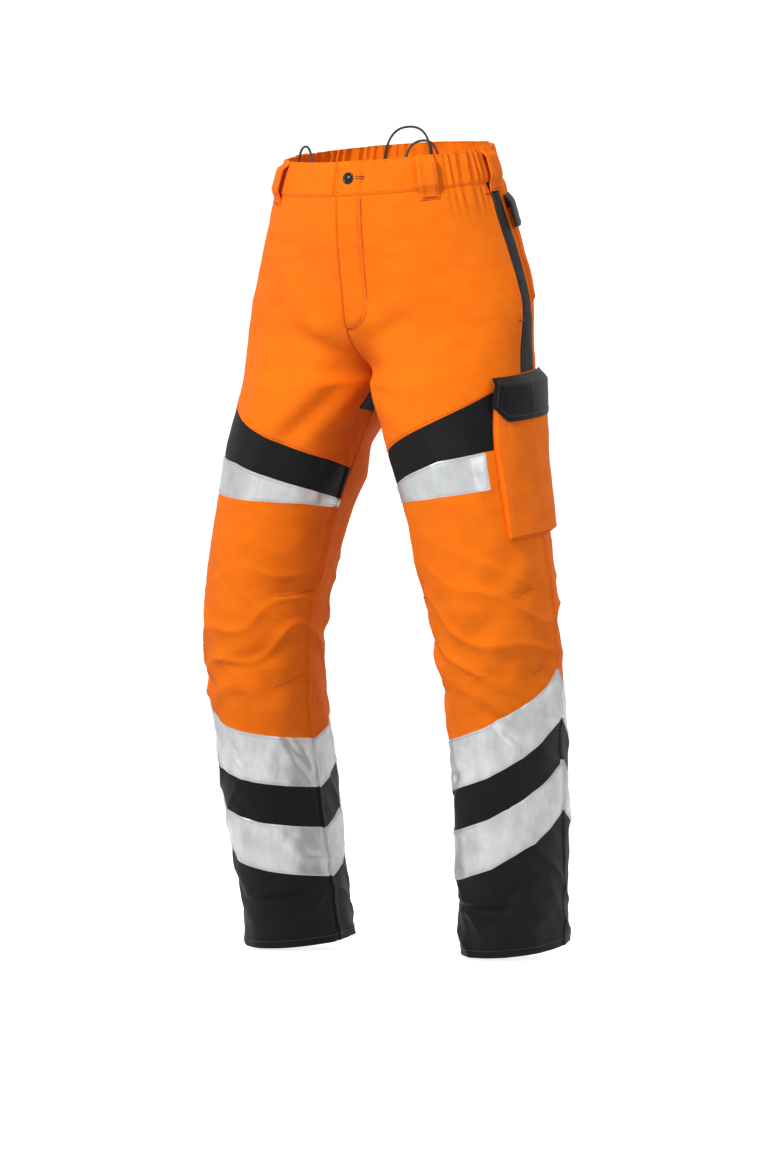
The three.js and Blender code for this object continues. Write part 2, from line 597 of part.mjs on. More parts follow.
for (const [name, side] of [["left", 1], ["right", -1]]) {
  upperLeg(side, name);
  lowerLeg(side, name);
  linings(side, name);
  beltLoop(`belt_loop_front_${name}`, side, 0.735);
  beltLoop(`belt_loop_side_${name}`, side, 0.485);
  beltLoop(`belt_loop_rear_${name}`, side, 0.2);
}
beltLoop("belt_loop_centre_back", 1, 0);
waistband();
braceLoop("brace_loop_front_left", 0.68, 0.8);
braceLoop("brace_loop_front_right", 1.125, 1.22);
braceLoop("brace_loop_rear", -0.02, -0.17);
pockets();
fly();

export default trousers;
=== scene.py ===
"""Chainsaw protective trousers: cloth, seams, stitching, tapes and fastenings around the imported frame.

Working sizes are millimetres, on the same (side, u, height, offset) cloth coordinates as the CAD:
u is 0 at the inseam seen from behind, 0.25 back, 0.5 outseam, 0.75 front and 1 at the inseam again;
above the crotch 0 is the centre back and 1 the centre front. Height is measured from the hem.
"""
import json
import math

import bpy
import numpy as np
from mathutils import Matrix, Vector


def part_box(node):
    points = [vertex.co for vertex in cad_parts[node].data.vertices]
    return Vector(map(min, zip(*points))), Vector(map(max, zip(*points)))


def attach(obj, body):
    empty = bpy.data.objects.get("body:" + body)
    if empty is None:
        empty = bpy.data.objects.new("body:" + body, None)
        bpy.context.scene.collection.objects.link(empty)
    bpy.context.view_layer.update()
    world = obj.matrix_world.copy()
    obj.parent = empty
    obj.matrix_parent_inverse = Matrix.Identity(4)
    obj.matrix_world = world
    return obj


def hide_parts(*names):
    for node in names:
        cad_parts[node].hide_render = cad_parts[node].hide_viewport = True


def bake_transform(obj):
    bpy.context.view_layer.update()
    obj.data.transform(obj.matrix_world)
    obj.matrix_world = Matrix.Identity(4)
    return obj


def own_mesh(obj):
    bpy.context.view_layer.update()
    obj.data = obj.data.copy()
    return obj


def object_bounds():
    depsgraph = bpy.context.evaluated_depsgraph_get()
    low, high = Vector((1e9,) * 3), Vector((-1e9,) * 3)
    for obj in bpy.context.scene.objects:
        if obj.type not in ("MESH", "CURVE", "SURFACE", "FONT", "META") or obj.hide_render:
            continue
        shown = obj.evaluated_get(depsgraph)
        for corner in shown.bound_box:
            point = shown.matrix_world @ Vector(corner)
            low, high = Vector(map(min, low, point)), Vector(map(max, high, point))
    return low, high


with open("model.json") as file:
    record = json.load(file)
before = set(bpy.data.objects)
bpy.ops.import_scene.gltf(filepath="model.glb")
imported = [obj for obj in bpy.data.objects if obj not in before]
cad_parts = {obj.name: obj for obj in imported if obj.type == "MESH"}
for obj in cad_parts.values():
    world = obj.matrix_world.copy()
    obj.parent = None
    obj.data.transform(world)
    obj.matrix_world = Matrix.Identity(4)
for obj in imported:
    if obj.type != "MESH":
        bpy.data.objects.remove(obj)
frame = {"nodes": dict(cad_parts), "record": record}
cad_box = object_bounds()

# ---- the trousers' sizes, as in the CAD ----
OUTSEAM, INSEAM, KNEE_HEIGHT, CALF_HEIGHT = 1098.0, 790.0, 450.0, 300.0
WAIST_WIDTH, WAIST_DEPTH, HIP_WIDTH = 304.0, 238.0, 440.0
WAISTBAND_HEIGHT = 46.0
BAND_BOTTOM = OUTSEAM - WAISTBAND_HEIGHT
RISE = OUTSEAM - INSEAM
CROTCH_BLEND = 0.36 * RISE
HEM_TILT, WAIST_TILT = 0.13, 0.164
CLOTH = 1.5
STRIP_TOP_U, STRIP_WIDTH_U = 0.525, 0.07
GUSSET_U, GUSSET_DROP, GUSSET_RISE = 0.12, 45.0, 40.0
TAPE_WIDTH, TAPE_PITCH = 70.0, 127.0
KNEE_HALF_TOP, KNEE_HALF_BOTTOM, KNEE_BACK_EXTRA = 60.0, 55.0, 25.0
HEM_FACING_HEIGHT = 40.0
PAD_BOTTOM, PAD_TOP = 60.0, OUTSEAM - 113
LOOP_WIDTH, LOOP_DROP, LOOP_GAP = 26.0, 14.0, 7.4
BRACE_RISE, BRACE_SEWN, BRACE_RADIUS = 24.5, 30.0, 1.7
CARGO = dict(u=0.48, top=INSEAM - 1, width=148.0, height=200.0, depth=8.5, flap=62.0, chamfer=20.0)
REAR = dict(u=0.295, top=BAND_BOTTOM - 22, width=129.0, height=130.0, depth=2.2, flap=46.0, chamfer=0.0)
MOUTH_DROP, FLAP_LAP = 18.0, 6.0
FLY_WIDTH, FLY_LENGTH, FLY_END, FLY_CORNER = 36.0, 160.0, 880.0, 30.0
# Round one leg: mm for the folds and seams, and m for the weave.
LEG_ROUND, METRES_ROUND = 580.0, 0.6
MM = 0.001
SIDES = {"left": 1, "right": -1}

# height, centre across, centre back, half width, half depth
LEG = np.array([
    [0, 180, 41, 71, 87],
    [CALF_HEIGHT, 198, -2, 73, 95],
    [KNEE_HEIGHT, 194, -28, 84, 94],
    [KNEE_HEIGHT + 0.68 * (INSEAM - KNEE_HEIGHT), 141, -18, 96, 116],
    [INSEAM, 112, -8, 112, 128],
], float)
# height, half width, depth in front, depth behind
PELVIS = np.array([
    [INSEAM, HIP_WIDTH / 2 - 5, 107, 136],
    [INSEAM + 0.30 * RISE, HIP_WIDTH / 2, 110, 134],
    [INSEAM + 0.52 * RISE, HIP_WIDTH / 2 - 17, 119, 130],
    [INSEAM + 0.72 * RISE, (WAIST_WIDTH + 0.43 * (HIP_WIDTH - WAIST_WIDTH)) / 2, 126, 127],
    [BAND_BOTTOM, (WAIST_WIDTH + 0.22 * (HIP_WIDTH - WAIST_WIDTH)) / 2, WAIST_DEPTH / 2 + 8, WAIST_DEPTH / 2 + 4],
    [OUTSEAM, WAIST_WIDTH / 2, WAIST_DEPTH / 2, WAIST_DEPTH / 2],
], float)


# ---- camera ----
def make_camera():
    """A long lens from the front, 35 degrees round towards the wearer's left and a little above."""
    azimuth, elevation, distance, view_height = math.radians(35), math.radians(0.4), 9.0, 1.587
    right = Vector((math.cos(azimuth), math.sin(azimuth), 0))
    target = right * -0.0083 + Vector((0, 0, -0.584))
    level = math.cos(elevation)
    back = Vector((math.sin(azimuth) * level, -math.cos(azimuth) * level, math.sin(elevation)))
    camera = bpy.data.objects.new("camera", bpy.data.cameras.new("camera"))
    bpy.context.scene.collection.objects.link(camera)
    camera.location = target + back * distance
    camera.rotation_euler = back.to_track_quat("Z", "Y").to_euler()
    camera.data.sensor_fit = "VERTICAL"
    camera.data.sensor_height = 24
    camera.data.lens = 12 * distance / (view_height / 2)
    bpy.context.scene.camera = camera


make_camera()


# ---- the cloth's surface ----
def smoothstep(x, low, high):
    t = np.clip((x - low) / (high - low), 0, 1)
    return t * t * (3 - 2 * t)


def bell(x, width):
    """A smooth bump, 1 where x is 0."""
    return np.exp(-(x / width) ** 2)


def table(rows, height):
    """Smooth values over height through the rows, with zero curvature past the ends."""
    t = rows[:, 0]
    height = np.clip(height, t[0], t[-1])
    k = np.clip(np.searchsorted(t, height, side="right"), 1, len(t) - 1)
    t0, t1 = t[k - 1], t[k]
    before = np.where(k >= 2, k - 2, k)
    after = np.where(k + 1 < len(t), np.minimum(k + 1, len(t) - 1), k - 1)
    t_before = np.where(k >= 2, t[before], t1)
    t_after = np.where(k + 1 < len(t), t[after], t0)
    half = (t1 - t0) / 2
    wp, wn = half / (t0 - t_before), half / (t_after - t1)
    p = (height - t0) / (t1 - t0)
    pp, ppp = p * p, p * p * p
    weights = [-wp * ppp + 2 * wp * pp - wp * p, (1 + wp) * ppp + (-1.5 - 2 * wp) * pp + (-0.5 + wp) * p + 1,
               (-1 - wn) * ppp + (1.5 + wn) * pp + 0.5 * p, wn * ppp - wn * pp]
    picks = [before, k - 1, k, after]
    return [sum(w * rows[i, c] for w, i in zip(weights, picks)) for c in range(1, rows.shape[1])]


def outline(u, height):
    cx, cy, half_width, half_depth = table(LEG, height)
    around = np.pi - 2 * np.pi * u
    leg_x, leg_y = cx + half_width * np.cos(around), cy + half_depth * np.sin(around)
    middle = 1 - (1 - np.clip((height - INSEAM) / CROTCH_BLEND, 0, 1)) ** 2.4
    flank = smoothstep(height, INSEAM - CROTCH_BLEND, INSEAM + CROTCH_BLEND)
    share = middle + (flank - middle) * np.sin(np.pi * u) ** 2
    hip, front, back = table(PELVIS, height)
    turn = np.pi * (1 - u)
    depth = np.where(np.cos(turn) > 0, front, back)
    return leg_x + share * (hip * np.sin(turn) - leg_x), leg_y + share * (-depth * np.cos(turn) - leg_y)


def stretch(u, height, step=1e-3):
    """Millimetres of cloth for each unit of u."""
    a, b = outline(u + step, height), outline(u - step, height)
    return np.hypot(a[0] - b[0], a[1] - b[1]) / (2 * step)


def plain(side, u, height):
    x, y = outline(u, height)
    return np.stack([side * x, y, height + (HEM_TILT + (WAIST_TILT - HEM_TILT) * height / OUTSEAM) * y], -1)


def outward(side, u, height):
    along = plain(side, u + 1e-3, height) - plain(side, u - 1e-3, height)
    upwards = plain(side, u, height + 1.0) - plain(side, u, height - 1.0)
    normal = np.cross(upwards, along) * side
    return normal / np.linalg.norm(normal, axis=-1, keepdims=True)


def waves(place, seed, count, shortest, longest, squash=(1, 1, 1)):
    """Smooth seeded ripples, about -1 to 1."""
    rng = np.random.default_rng(seed)
    total = np.zeros(place.shape[:-1])
    for _ in range(count):
        direction = rng.normal(size=3) * squash
        direction /= np.linalg.norm(direction)
        length = shortest * (longest / shortest) ** rng.random()
        total += np.sin(2 * np.pi * place @ direction / length + rng.random() * 6.28)
    return total / math.sqrt(count)


def ridges(place, seed, length, direction, warp):
    """Soft folds with narrow crests, 0 to 1, running across a direction."""
    direction = np.array(direction, float) / np.linalg.norm(direction)
    bend = warp * waves(place, seed, 5, 2 * length, 5 * length)
    return (1 - np.abs(np.sin(np.pi * place @ direction / length + bend))) ** 2


def near_line(u, height, start, end):
    """Distance in mm from a line between two (u, height) places, and how far along it is, 0 to 1."""
    a = np.array([start[0] * LEG_ROUND, start[1]])
    d = np.array([end[0] * LEG_ROUND, end[1]]) - a
    x, y = u * LEG_ROUND - a[0], height - a[1]
    t = np.clip((x * d[0] + y * d[1]) / (d @ d), 0, 1)
    return np.hypot(x - t * d[0], y - t * d[1]), t


# Folds placed one by one: side (0 both), from (u, height), to (u, height), width and depth in mm.
FOLDS = [
    (-1, (0.93, 812), (0.80, 700), 15, -4.5), (-1, (0.97, 830), (0.86, 860), 14, -3.5),
    (1, (0.95, 822), (0.80, 770), 16, -4.0), (1, (0.97, 842), (0.84, 880), 15, -3.0),
    (-1, (0.99, 760), (0.90, 640), 14, -2.5), (1, (0.98, 740), (0.88, 650), 16, -2.5),
    (-1, (0.58, 392), (0.70, 372), 8, -4.0), (-1, (0.55, 372), (0.68, 350), 8, 3.0),
    (1, (0.99, 455), (0.84, 425), 12, -4.5), (1, (0.98, 425), (0.82, 392), 12, 3.0),
    (1, (0.98, 400), (0.86, 350), 10, -3.5), (-1, (0.90, 420), (0.74, 400), 14, -3.0),
    (1, (0.62, 480), (0.74, 430), 18, -3.0), (1, (0.56, 560), (0.66, 500), 16, -2.5),
    (-1, (0.66, 330), (0.78, 265), 9, -3.0), (1, (0.70, 350), (0.60, 300), 9, -3.5),
    (1, (0.95, 320), (0.82, 255), 10, -3.5), (-1, (0.90, 300), (0.97, 235), 7, -2.5),
    (1, (0.80, 255), (0.90, 205), 9, -3.0), (-1, (0.72, 225), (0.80, 165), 10, -2.0),
    (0, (0.90, 74), (0.66, 66), 5, -3.6), (-1, (0.58, 120), (0.72, 60), 12, -3.0),
    (1, (0.60, 110), (0.72, 40), 12, -3.0), (0, (0.92, 100), (0.86, 40), 14, -2.2),
    (0, (0.06, 700), (0.22, 640), 20, -5.0), (0, (0.04, 780), (0.24, 745), 18, -5.0),
    (0, (0.08, 830), (0.26, 850), 20, -4.0), (0, (0.12, 470), (0.40, 450), 14, -6.0),
    (0, (0.10, 430), (0.38, 420), 12, -5.0), (0, (0.14, 505), (0.36, 492), 12, -4.0),
    (0, (0.12, 300), (0.30, 270), 14, -3.5), (0, (0.20, 180), (0.40, 150), 14, -3.0),
]
# Knee darts: from (u, height), to (u, height).
DARTS = [((0.985, 500), (0.88, 500)), ((0.975, 386), (0.88, 370)),
         ((0.53, 508), (0.597, 497)), ((0.515, 397), (0.552, 391))]


def inseam_u(height):
    """Where the inseam runs: a little forward at the crotch."""
    return 1 - 0.05 * smoothstep(height, INSEAM - 130, INSEAM - 45)


def outseam_u(height):
    """Where the outseam runs: a little back below the knee."""
    return 0.46 + 0.04 * smoothstep(height, KNEE_HEIGHT, INSEAM)


def fly_depth(across, height):
    """How far inside the fly's J-shaped edge a place on the left front is, in mm; negative outside."""
    bottom = FLY_END - 12
    low = np.clip((bottom + FLY_CORNER - height) / FLY_CORNER, 0, 1)
    reach = FLY_WIDTH * np.sqrt(np.clip(1 - low ** 2, 0, 1))
    return np.minimum(reach - across, height - bottom)


def worn(side, u, height, place):
    """Ripples, a fuller right hip, and the soft folds of knees, shins, legs and seat."""
    leg = 1 - smoothstep(height, 640, 800)
    knee = bell(height - 440, 95)
    lower = 1 - smoothstep(height, 250, 420)
    seat = smoothstep(height, 760, 860) * (1 - smoothstep(height, 980, 1050))
    out = 1.5 * waves(place, 3, 14, 90, 240, (1, 1, 0.6))
    out += 0.55 * waves(place, 5, 16, 26, 60, (1, 1, 0.9)) * (0.5 + 0.8 * knee + 0.9 * lower)
    out += 6.0 * bell(height - 800, 75) * bell(u - 0.6, 0.11) * (side < 0)
    for amount, seed, length, direction, warp in (
        (3.8 * knee, 11, 46, (0.35 * side, 0.2, 1), 1.1),
        (3.0 * lower, 17, 62, (0.5 * side, 0.3, 0.8), 1.3),
        (1.8 * leg, 23, 85, (1, 0.5, 0.35), 1.2),
        (1.6 * seat, 29, 95, (1, 0.3, 0.5), 1.0),
    ):
        out += amount * (ridges(place, seed, length, direction, warp) - 0.35)
    return out


def creases(side, u, height):
    """The folds placed one by one, and the knee darts."""
    out = 0.0
    for fold_side, start, end, width, depth in FOLDS:
        if fold_side in (0, side):
            distance, t = near_line(u, height, start, end)
            fade = np.sin(np.pi * (0.12 + 0.8 * t)) ** 0.7
            out = out + depth * fade * (bell(distance, width) - 0.45 * bell(distance - 1.7 * width, width))
    for start, end in DARTS:
        distance, t = near_line(u, height, start, end)
        out = out - 2.6 * bell(distance, 2.2) * (1 - 0.5 * t) - 2.2 * bell(distance, 18)
    return out


def gathers(u, height):
    """Pleats under the elastic waist, from the front loops round the back."""
    gather = smoothstep(u, 0.70, 0.66) * smoothstep(height, BAND_BOTTOM - 55, BAND_BOTTOM - 4)
    gather *= 1 - 0.65 * smoothstep(np.abs(height - BAND_BOTTOM), 9, 0)
    turn = 2 * np.pi * u * 480
    return 1.9 * gather * (np.sin(turn / 14.5 + 1.6 * np.sin(turn / 53) + 0.02 * height) ** 3 + 0.15)


def fly_relief(side, u, height, place):
    """The groove of the middle seam, and the fly's raised J-shaped edge on the left front."""
    across = np.abs(place[..., 0])
    out = -1.1 * bell(across, 2.2) * smoothstep(height, INSEAM - 6, INSEAM + 30)
    if side > 0:
        front = u > 0.8
        inside = fly_depth(across, height) * front
        groove = 1.9 * bell(inside + 2.2, 2.4) * (height > FLY_END - 16)
        out = out + front * (1.6 * smoothstep(inside, -1.2, 0.8) - groove)
    return out


def seam_relief(u, height):
    """The felled inseam and outseam: a raised strip with a groove on each side."""
    front = u > 0.8
    inner = (inseam_u(height) - u) * LEG_ROUND
    outer = (outseam_u(height) - u) * LEG_ROUND
    inseam = 1.7 * smoothstep(inner, 0, 0.8) * (1 - smoothstep(inner, 8.0, 9.4)) * front
    inseam = inseam - 1.4 * bell(inner - 10.6, 1.8) - 1.4 * bell(inner + 1.6, 1.8) * front
    outseam = smoothstep(outer, 0, 0.8) * (1 - smoothstep(outer, 7.5, 8.9))
    outseam = outseam - 0.8 * bell(outer + 1.2, 1.4) - 0.6 * bell(outer - 9.6, 1.5)
    return (smoothstep(height, INSEAM - 38, INSEAM - 46) * inseam
            + smoothstep(height, INSEAM - 2, INSEAM - 12) * outseam)


def displacement(side, u, height, place):
    """How far the worn, folded cloth stands out from the plain surface, in mm."""
    return (worn(side, u, height, place) + creases(side, u, height) + gathers(u, height)
            + fly_relief(side, u, height, place) + seam_relief(u, height))


def cloth(side, u, height, offset=0.0, flat=1.0):
    """The place of the cloth, lifted off the plain surface, and the direction out of it."""
    u, height = np.broadcast_arrays(np.asarray(u, float), np.asarray(height, float))
    place = plain(side, u, height)
    normal = outward(side, u, height)
    lift = flat * displacement(side, u, height, place) + offset
    moved = place + normal * lift[..., None]
    return moved, normal


# ---- meshes ----
def make_object(name, verts, faces, material, uv=None, smooth=True):
    mesh = bpy.data.meshes.new(name)
    mesh.from_pydata((np.asarray(verts) * MM).tolist(), [], faces)
    if uv is not None:
        layer = mesh.uv_layers.new(name="cloth")
        loops = np.zeros(len(mesh.loops), dtype=np.int32)
        mesh.loops.foreach_get("vertex_index", loops)
        layer.data.foreach_set("uv", np.asarray(uv)[loops].astype(np.float32).ravel())
    if smooth:
        mesh.shade_smooth()
        mesh.set_sharp_from_angle(angle=math.radians(48))
    mesh.validate()
    mesh.materials.append(material)
    obj = bpy.data.objects.new(name, mesh)
    bpy.context.scene.collection.objects.link(obj)
    return obj


def sheet_mesh(outer, inner, ring=False):
    """Points and faces of a closed sheet between two grids of points, [columns, rows, 3]."""
    columns, rows = outer.shape[:2]
    ids = np.arange(columns * rows).reshape(columns, rows)
    if ring:
        ids = np.vstack([ids, ids[:1]])
    back = ids + columns * rows

    def quads(a, b, c, d):
        return np.stack([a, b, c, d], -1).reshape(-1, 4)

    faces = [
        quads(ids[:-1, :-1], ids[:-1, 1:], ids[1:, 1:], ids[1:, :-1]),
        quads(back[:-1, :-1], back[1:, :-1], back[1:, 1:], back[:-1, 1:]),
        quads(ids[:-1, 0], ids[1:, 0], back[1:, 0], back[:-1, 0]),
        quads(ids[1:, -1], ids[:-1, -1], back[:-1, -1], back[1:, -1]),
    ]
    if not ring:
        faces.append(quads(ids[0, 1:], ids[0, :-1], back[0, :-1], back[0, 1:]))
        faces.append(quads(ids[-1, :-1], ids[-1, 1:], back[-1, 1:], back[-1, :-1]))
    verts = np.concatenate([outer.reshape(-1, 3), inner.reshape(-1, 3)])
    return verts, np.concatenate(faces)


def declare_cloth(obj, outer, ring=False, held="hung", on="waistband_back"):
    """Works out the area of a piece's outer face, the size of its flat cut; nothing is done with it."""
    along = np.roll(outer, -1, 0) - outer if ring else np.diff(outer, axis=0)
    up = np.diff(outer, axis=1)
    area = np.linalg.norm(np.cross(along[:, :-1], up[:along.shape[0]]), axis=2).sum() * MM * MM


def outward_faces(side, faces):
    return (faces if side > 0 else faces[:, ::-1]).tolist()


def call(f, *args):
    return f(*args) if callable(f) else f


def panel(name, side, start, end, low, high, material, offset=0.0, thick=CLOTH, step=3.6, ring=False,
          flat=1.0, crosses=False, seams=(1, 1, 1), profile=None, held="hung", on="waistband_back"):
    """A panel of cloth between u = start and end and heights low and high, each a number or a function.

    seams says how far the lower, upper and side edges dip into a sewn seam.
    """
    mid_u = (call(start, 0.5) + call(end, 0.5)) / 2
    mid_h = (call(low, mid_u) + call(high, mid_u)) / 2
    width_of_unit = float(stretch(mid_u, mid_h))
    width = abs(call(end, 0.5) - call(start, 0.5)) * width_of_unit
    columns = max(3, int(width / step))
    rows = max(3, int((call(high, mid_u) - call(low, mid_u)) / step))
    a = np.linspace(0, 1, columns + 1)[:columns + (0 if ring else 1), None]
    v = np.linspace(0, 1, rows + 1)[None, :]
    u = call(start, v) + (call(end, v) - call(start, v)) * a
    low_h, high_h = call(low, u), call(high, u)
    height = low_h + (high_h - low_h) * v
    tall = high_h - low_h
    across = np.minimum(a, 1 - a) * width if not ring else 99.0
    shape = 0.0
    for weight, edge in zip(seams, (v * tall, (1 - v) * tall, across)):
        shape = np.minimum(shape, -0.8 * weight * bell(edge, 1.6))
    extra = profile(a, v, u, height) if profile else 0.0
    place, normal = cloth(side, u, height, call(offset, a, v, u) + shape + extra, flat)
    inner = place - normal * thick
    if not crosses:
        middle = (1 - smoothstep(np.minimum(u, 1 - u) * width_of_unit, 0, 9)) * (height >= INSEAM - 0.5)
        for grid in (place, inner):
            grid[..., 0] = side * np.maximum(side * grid[..., 0], 0.0) * (1 - middle)
    verts, faces = sheet_mesh(place, inner, ring)
    verts[:, 2] -= OUTSEAM
    uv = np.stack([np.broadcast_to(c, place.shape[:2]) for c in (u * METRES_ROUND, height * MM)], -1)
    uv = np.concatenate([uv.reshape(-1, 2)] * 2)
    obj = make_object(name, verts, outward_faces(side, faces), material, uv)
    if held:
        declare_cloth(obj, place, ring, held, on)
    return obj


# ---- thread ----
class Thread:
    """Collects stitches by group and colour, and makes each group's stitches into one piece."""

    def __init__(self):
        self.rows = {}

    def add(self, group, colour, points, normals, pitch=3.6, length=2.6, radius=0.42, lift=0.15):
        points, normals = np.asarray(points, float), np.asarray(normals, float)
        walked = np.r_[0, np.cumsum(np.linalg.norm(np.diff(points, axis=0), axis=1))]
        starts = np.arange(0.5, walked[-1] - length, pitch)
        if len(starts) == 0:
            return

        def at(s, values):
            return np.stack([np.interp(s, walked, values[:, k]) for k in range(3)], -1)

        a, b, n = at(starts, points), at(starts + length, points), at(starts + length / 2, normals)
        self.rows.setdefault((group, colour), []).append((a, b, n, radius, lift))

    def along(self, group, colour, side, us, heights, offset=0.5, **options):
        """A row of stitches on the cloth through the given places."""
        us, heights = np.broadcast_arrays(np.asarray(us, float), np.asarray(heights, float))
        places, normals = cloth(side, us, heights, offset)
        places[:, 2] -= OUTSEAM
        self.add(group, colour, places, normals, **options)

    def build(self, materials, place_group):
        for (group, colour), rows in self.rows.items():
            verts, faces = [], []
            count = 0
            for a, b, n, radius, lift in rows:
                along = b - a
                length = np.linalg.norm(along, axis=1, keepdims=True)
                along = along / np.maximum(length, 1e-6)
                across = np.cross(along, n)
                across /= np.maximum(np.linalg.norm(across, axis=1, keepdims=True), 1e-6)
                up = np.cross(across, along)
                parts = [a - up * 0.2]
                for t in (0.22, 0.78):
                    centre = a + (b - a) * t + up * lift
                    parts += [centre + way * radius for way in (across, up, -across, -up)]
                parts.append(b - up * 0.2)
                verts.append(np.stack(parts, 1).reshape(-1, 3))
                base = (np.arange(len(a)) * 10)[:, None] + count
                count += len(a) * 10
                for k in range(4):
                    m = (k + 1) % 4
                    faces.append(np.hstack([base, base + 1 + m, base + 1 + k, base + 1 + k]))
                    faces.append(np.hstack([base + 1 + k, base + 1 + m, base + 5 + m, base + 5 + k]))
                    faces.append(np.hstack([base + 9, base + 5 + k, base + 5 + m, base + 5 + m]))
            polygons = [list(dict.fromkeys(f)) for f in np.concatenate(faces).tolist()]
            obj = make_object(f"stitches_{colour}_{group}", np.concatenate(verts), polygons, materials[colour])
            place_group(obj, group)


thread = Thread()


# ---- materials ----
def node_material(name, colour, roughness, sheen=0.0, metallic=0.0, specular=0.4):
    material = bpy.data.materials.new(name)
    material.use_nodes = True
    shader = material.node_tree.nodes["Principled BSDF"]
    shader.inputs["Base Color"].default_value = (*colour, 1)
    shader.inputs["Roughness"].default_value = roughness
    shader.inputs["Metallic"].default_value = metallic
    shader.inputs["Specular IOR Level"].default_value = specular
    shader.inputs["Sheen Weight"].default_value = sheen
    shader.inputs["Sheen Roughness"].default_value = 0.5
    shader.inputs["Sheen Tint"].default_value = (*[min(1, 0.5 + c) for c in colour], 1)
    return material, material.node_tree.nodes, material.node_tree.links, shader


def mapped(nodes, links, coordinate="UV", scale=(1, 1, 1)):
    source = nodes.new("ShaderNodeTexCoord")
    mapping = nodes.new("ShaderNodeMapping")
    mapping.inputs["Scale"].default_value = scale
    links.new(source.outputs[coordinate], mapping.inputs["Vector"])
    return mapping.outputs["Vector"]


def noise(nodes, links, vector, scale, detail=3.0, roughness=0.6):
    texture = nodes.new("ShaderNodeTexNoise")
    texture.inputs["Scale"].default_value = scale
    texture.inputs["Detail"].default_value = detail
    texture.inputs["Roughness"].default_value = roughness
    links.new(vector, texture.inputs["Vector"])
    return texture.outputs["Fac"]


def twill(nodes, links, vector, period):
    texture = nodes.new("ShaderNodeTexWave")
    texture.bands_direction = "DIAGONAL"
    texture.inputs["Scale"].default_value = 0.628 / period
    texture.inputs["Distortion"].default_value = 1.2
    texture.inputs["Detail"].default_value = 1.0
    texture.inputs["Detail Scale"].default_value = 2.0
    links.new(vector, texture.inputs["Vector"])
    return texture.outputs["Fac"]


def ramp(nodes, links, value, low, high, start=0.3, end=0.7):
    node = nodes.new("ShaderNodeValToRGB")
    node.color_ramp.elements[0].position = start
    node.color_ramp.elements[1].position = end
    node.color_ramp.elements[0].color = (*low, 1)
    node.color_ramp.elements[1].color = (*high, 1)
    links.new(value, node.inputs["Fac"])
    return node.outputs["Color"]


def mix(nodes, links, kind, factor, a, b):
    node = nodes.new("ShaderNodeMix")
    node.data_type = "RGBA"
    node.blend_type = kind
    node.inputs["Factor"].default_value = factor
    links.new(a, node.inputs["A"])
    links.new(b, node.inputs["B"])
    return node.outputs["Result"]


def bump(nodes, links, shader, layers):
    """Chains (height, strength, distance in m) layers of bump into the shader's normal."""
    last = None
    for height, strength, distance in layers:
        node = nodes.new("ShaderNodeBump")
        node.inputs["Strength"].default_value = strength
        node.inputs["Distance"].default_value = distance
        links.new(height, node.inputs["Height"])
        if last is not None:
            links.new(last, node.inputs["Normal"])
        last = node.outputs["Normal"]
    links.new(last, shader.inputs["Normal"])


def woven(name, dark, light, roughness, sheen, period=0.0011, specular=0.12, painted_shade_colour=(0.91, 0.83, 0.76)):
    """Twill cloth: a fine diagonal weave, fibres of slightly different dye, and painted shade in soft patches,
    darker and redder where the bump sinks.
    """
    base = [(a + b) / 2 for a, b in zip(dark, light)]
    material, nodes, links, shader = node_material(name, base, roughness, sheen, specular=specular)
    vector = mapped(nodes, links)
    fibres = noise(nodes, links, mapped(nodes, links, scale=(1, 2.6, 1)), 620, 4.0, 0.7)
    patches = noise(nodes, links, mapped(nodes, links, scale=(1, 1.8, 1)), 22, 6.0, 0.62)
    weave = twill(nodes, links, vector, period)
    colour = ramp(nodes, links, fibres, dark, light, 0.32, 0.68)
    # Painted shade: large soft patches darkened towards the painted shade colour, deepest where the same noise
    # sinks the bump.
    painted_shade = ramp(nodes, links, patches, painted_shade_colour, (1, 1, 1), 0.28, 0.62)
    grain = ramp(nodes, links, weave, (0.88, 0.86, 0.84), (1, 1, 1), 0.1, 0.6)
    colour = mix(nodes, links, "MULTIPLY", 1.0, colour, painted_shade)
    links.new(mix(nodes, links, "MULTIPLY", 0.5, colour, grain), shader.inputs["Base Color"])
    bump(nodes, links, shader, [(patches, 0.12, 0.004), (weave, 0.45, 0.00035), (fibres, 0.35, 0.0003)])
    return material


def reflective(name):
    """Glass-bead tape: grey and satin, with fine beads and faint creases, painted darker in their hollows and
    lighter on their crests as painted shade and highlight.
    """
    material, nodes, links, shader = node_material(name, (0.50, 0.51, 0.52), 0.34, metallic=0.45, specular=0.5)
    vector = mapped(nodes, links)
    creases = noise(nodes, links, mapped(nodes, links, scale=(1, 0.5, 1)), 34, 4.0, 0.65)
    beads = noise(nodes, links, vector, 1900, 1.0)
    # Painted shade and highlight: the grey is darker where the crease bump sinks and lighter on its crests.
    colour = ramp(nodes, links, creases, (0.36, 0.37, 0.38), (0.53, 0.54, 0.55), 0.3, 0.7)
    speckle = ramp(nodes, links, beads, (0.92, 0.92, 0.92), (1, 1, 1), 0.35, 0.6)
    links.new(mix(nodes, links, "MULTIPLY", 1.0, colour, speckle), shader.inputs["Base Color"])
    links.new(ramp(nodes, links, creases, (0.44,) * 3, (0.30,) * 3), shader.inputs["Roughness"])
    bump(nodes, links, shader, [(creases, 0.35, 0.003), (beads, 0.12, 0.0002)])
    return material


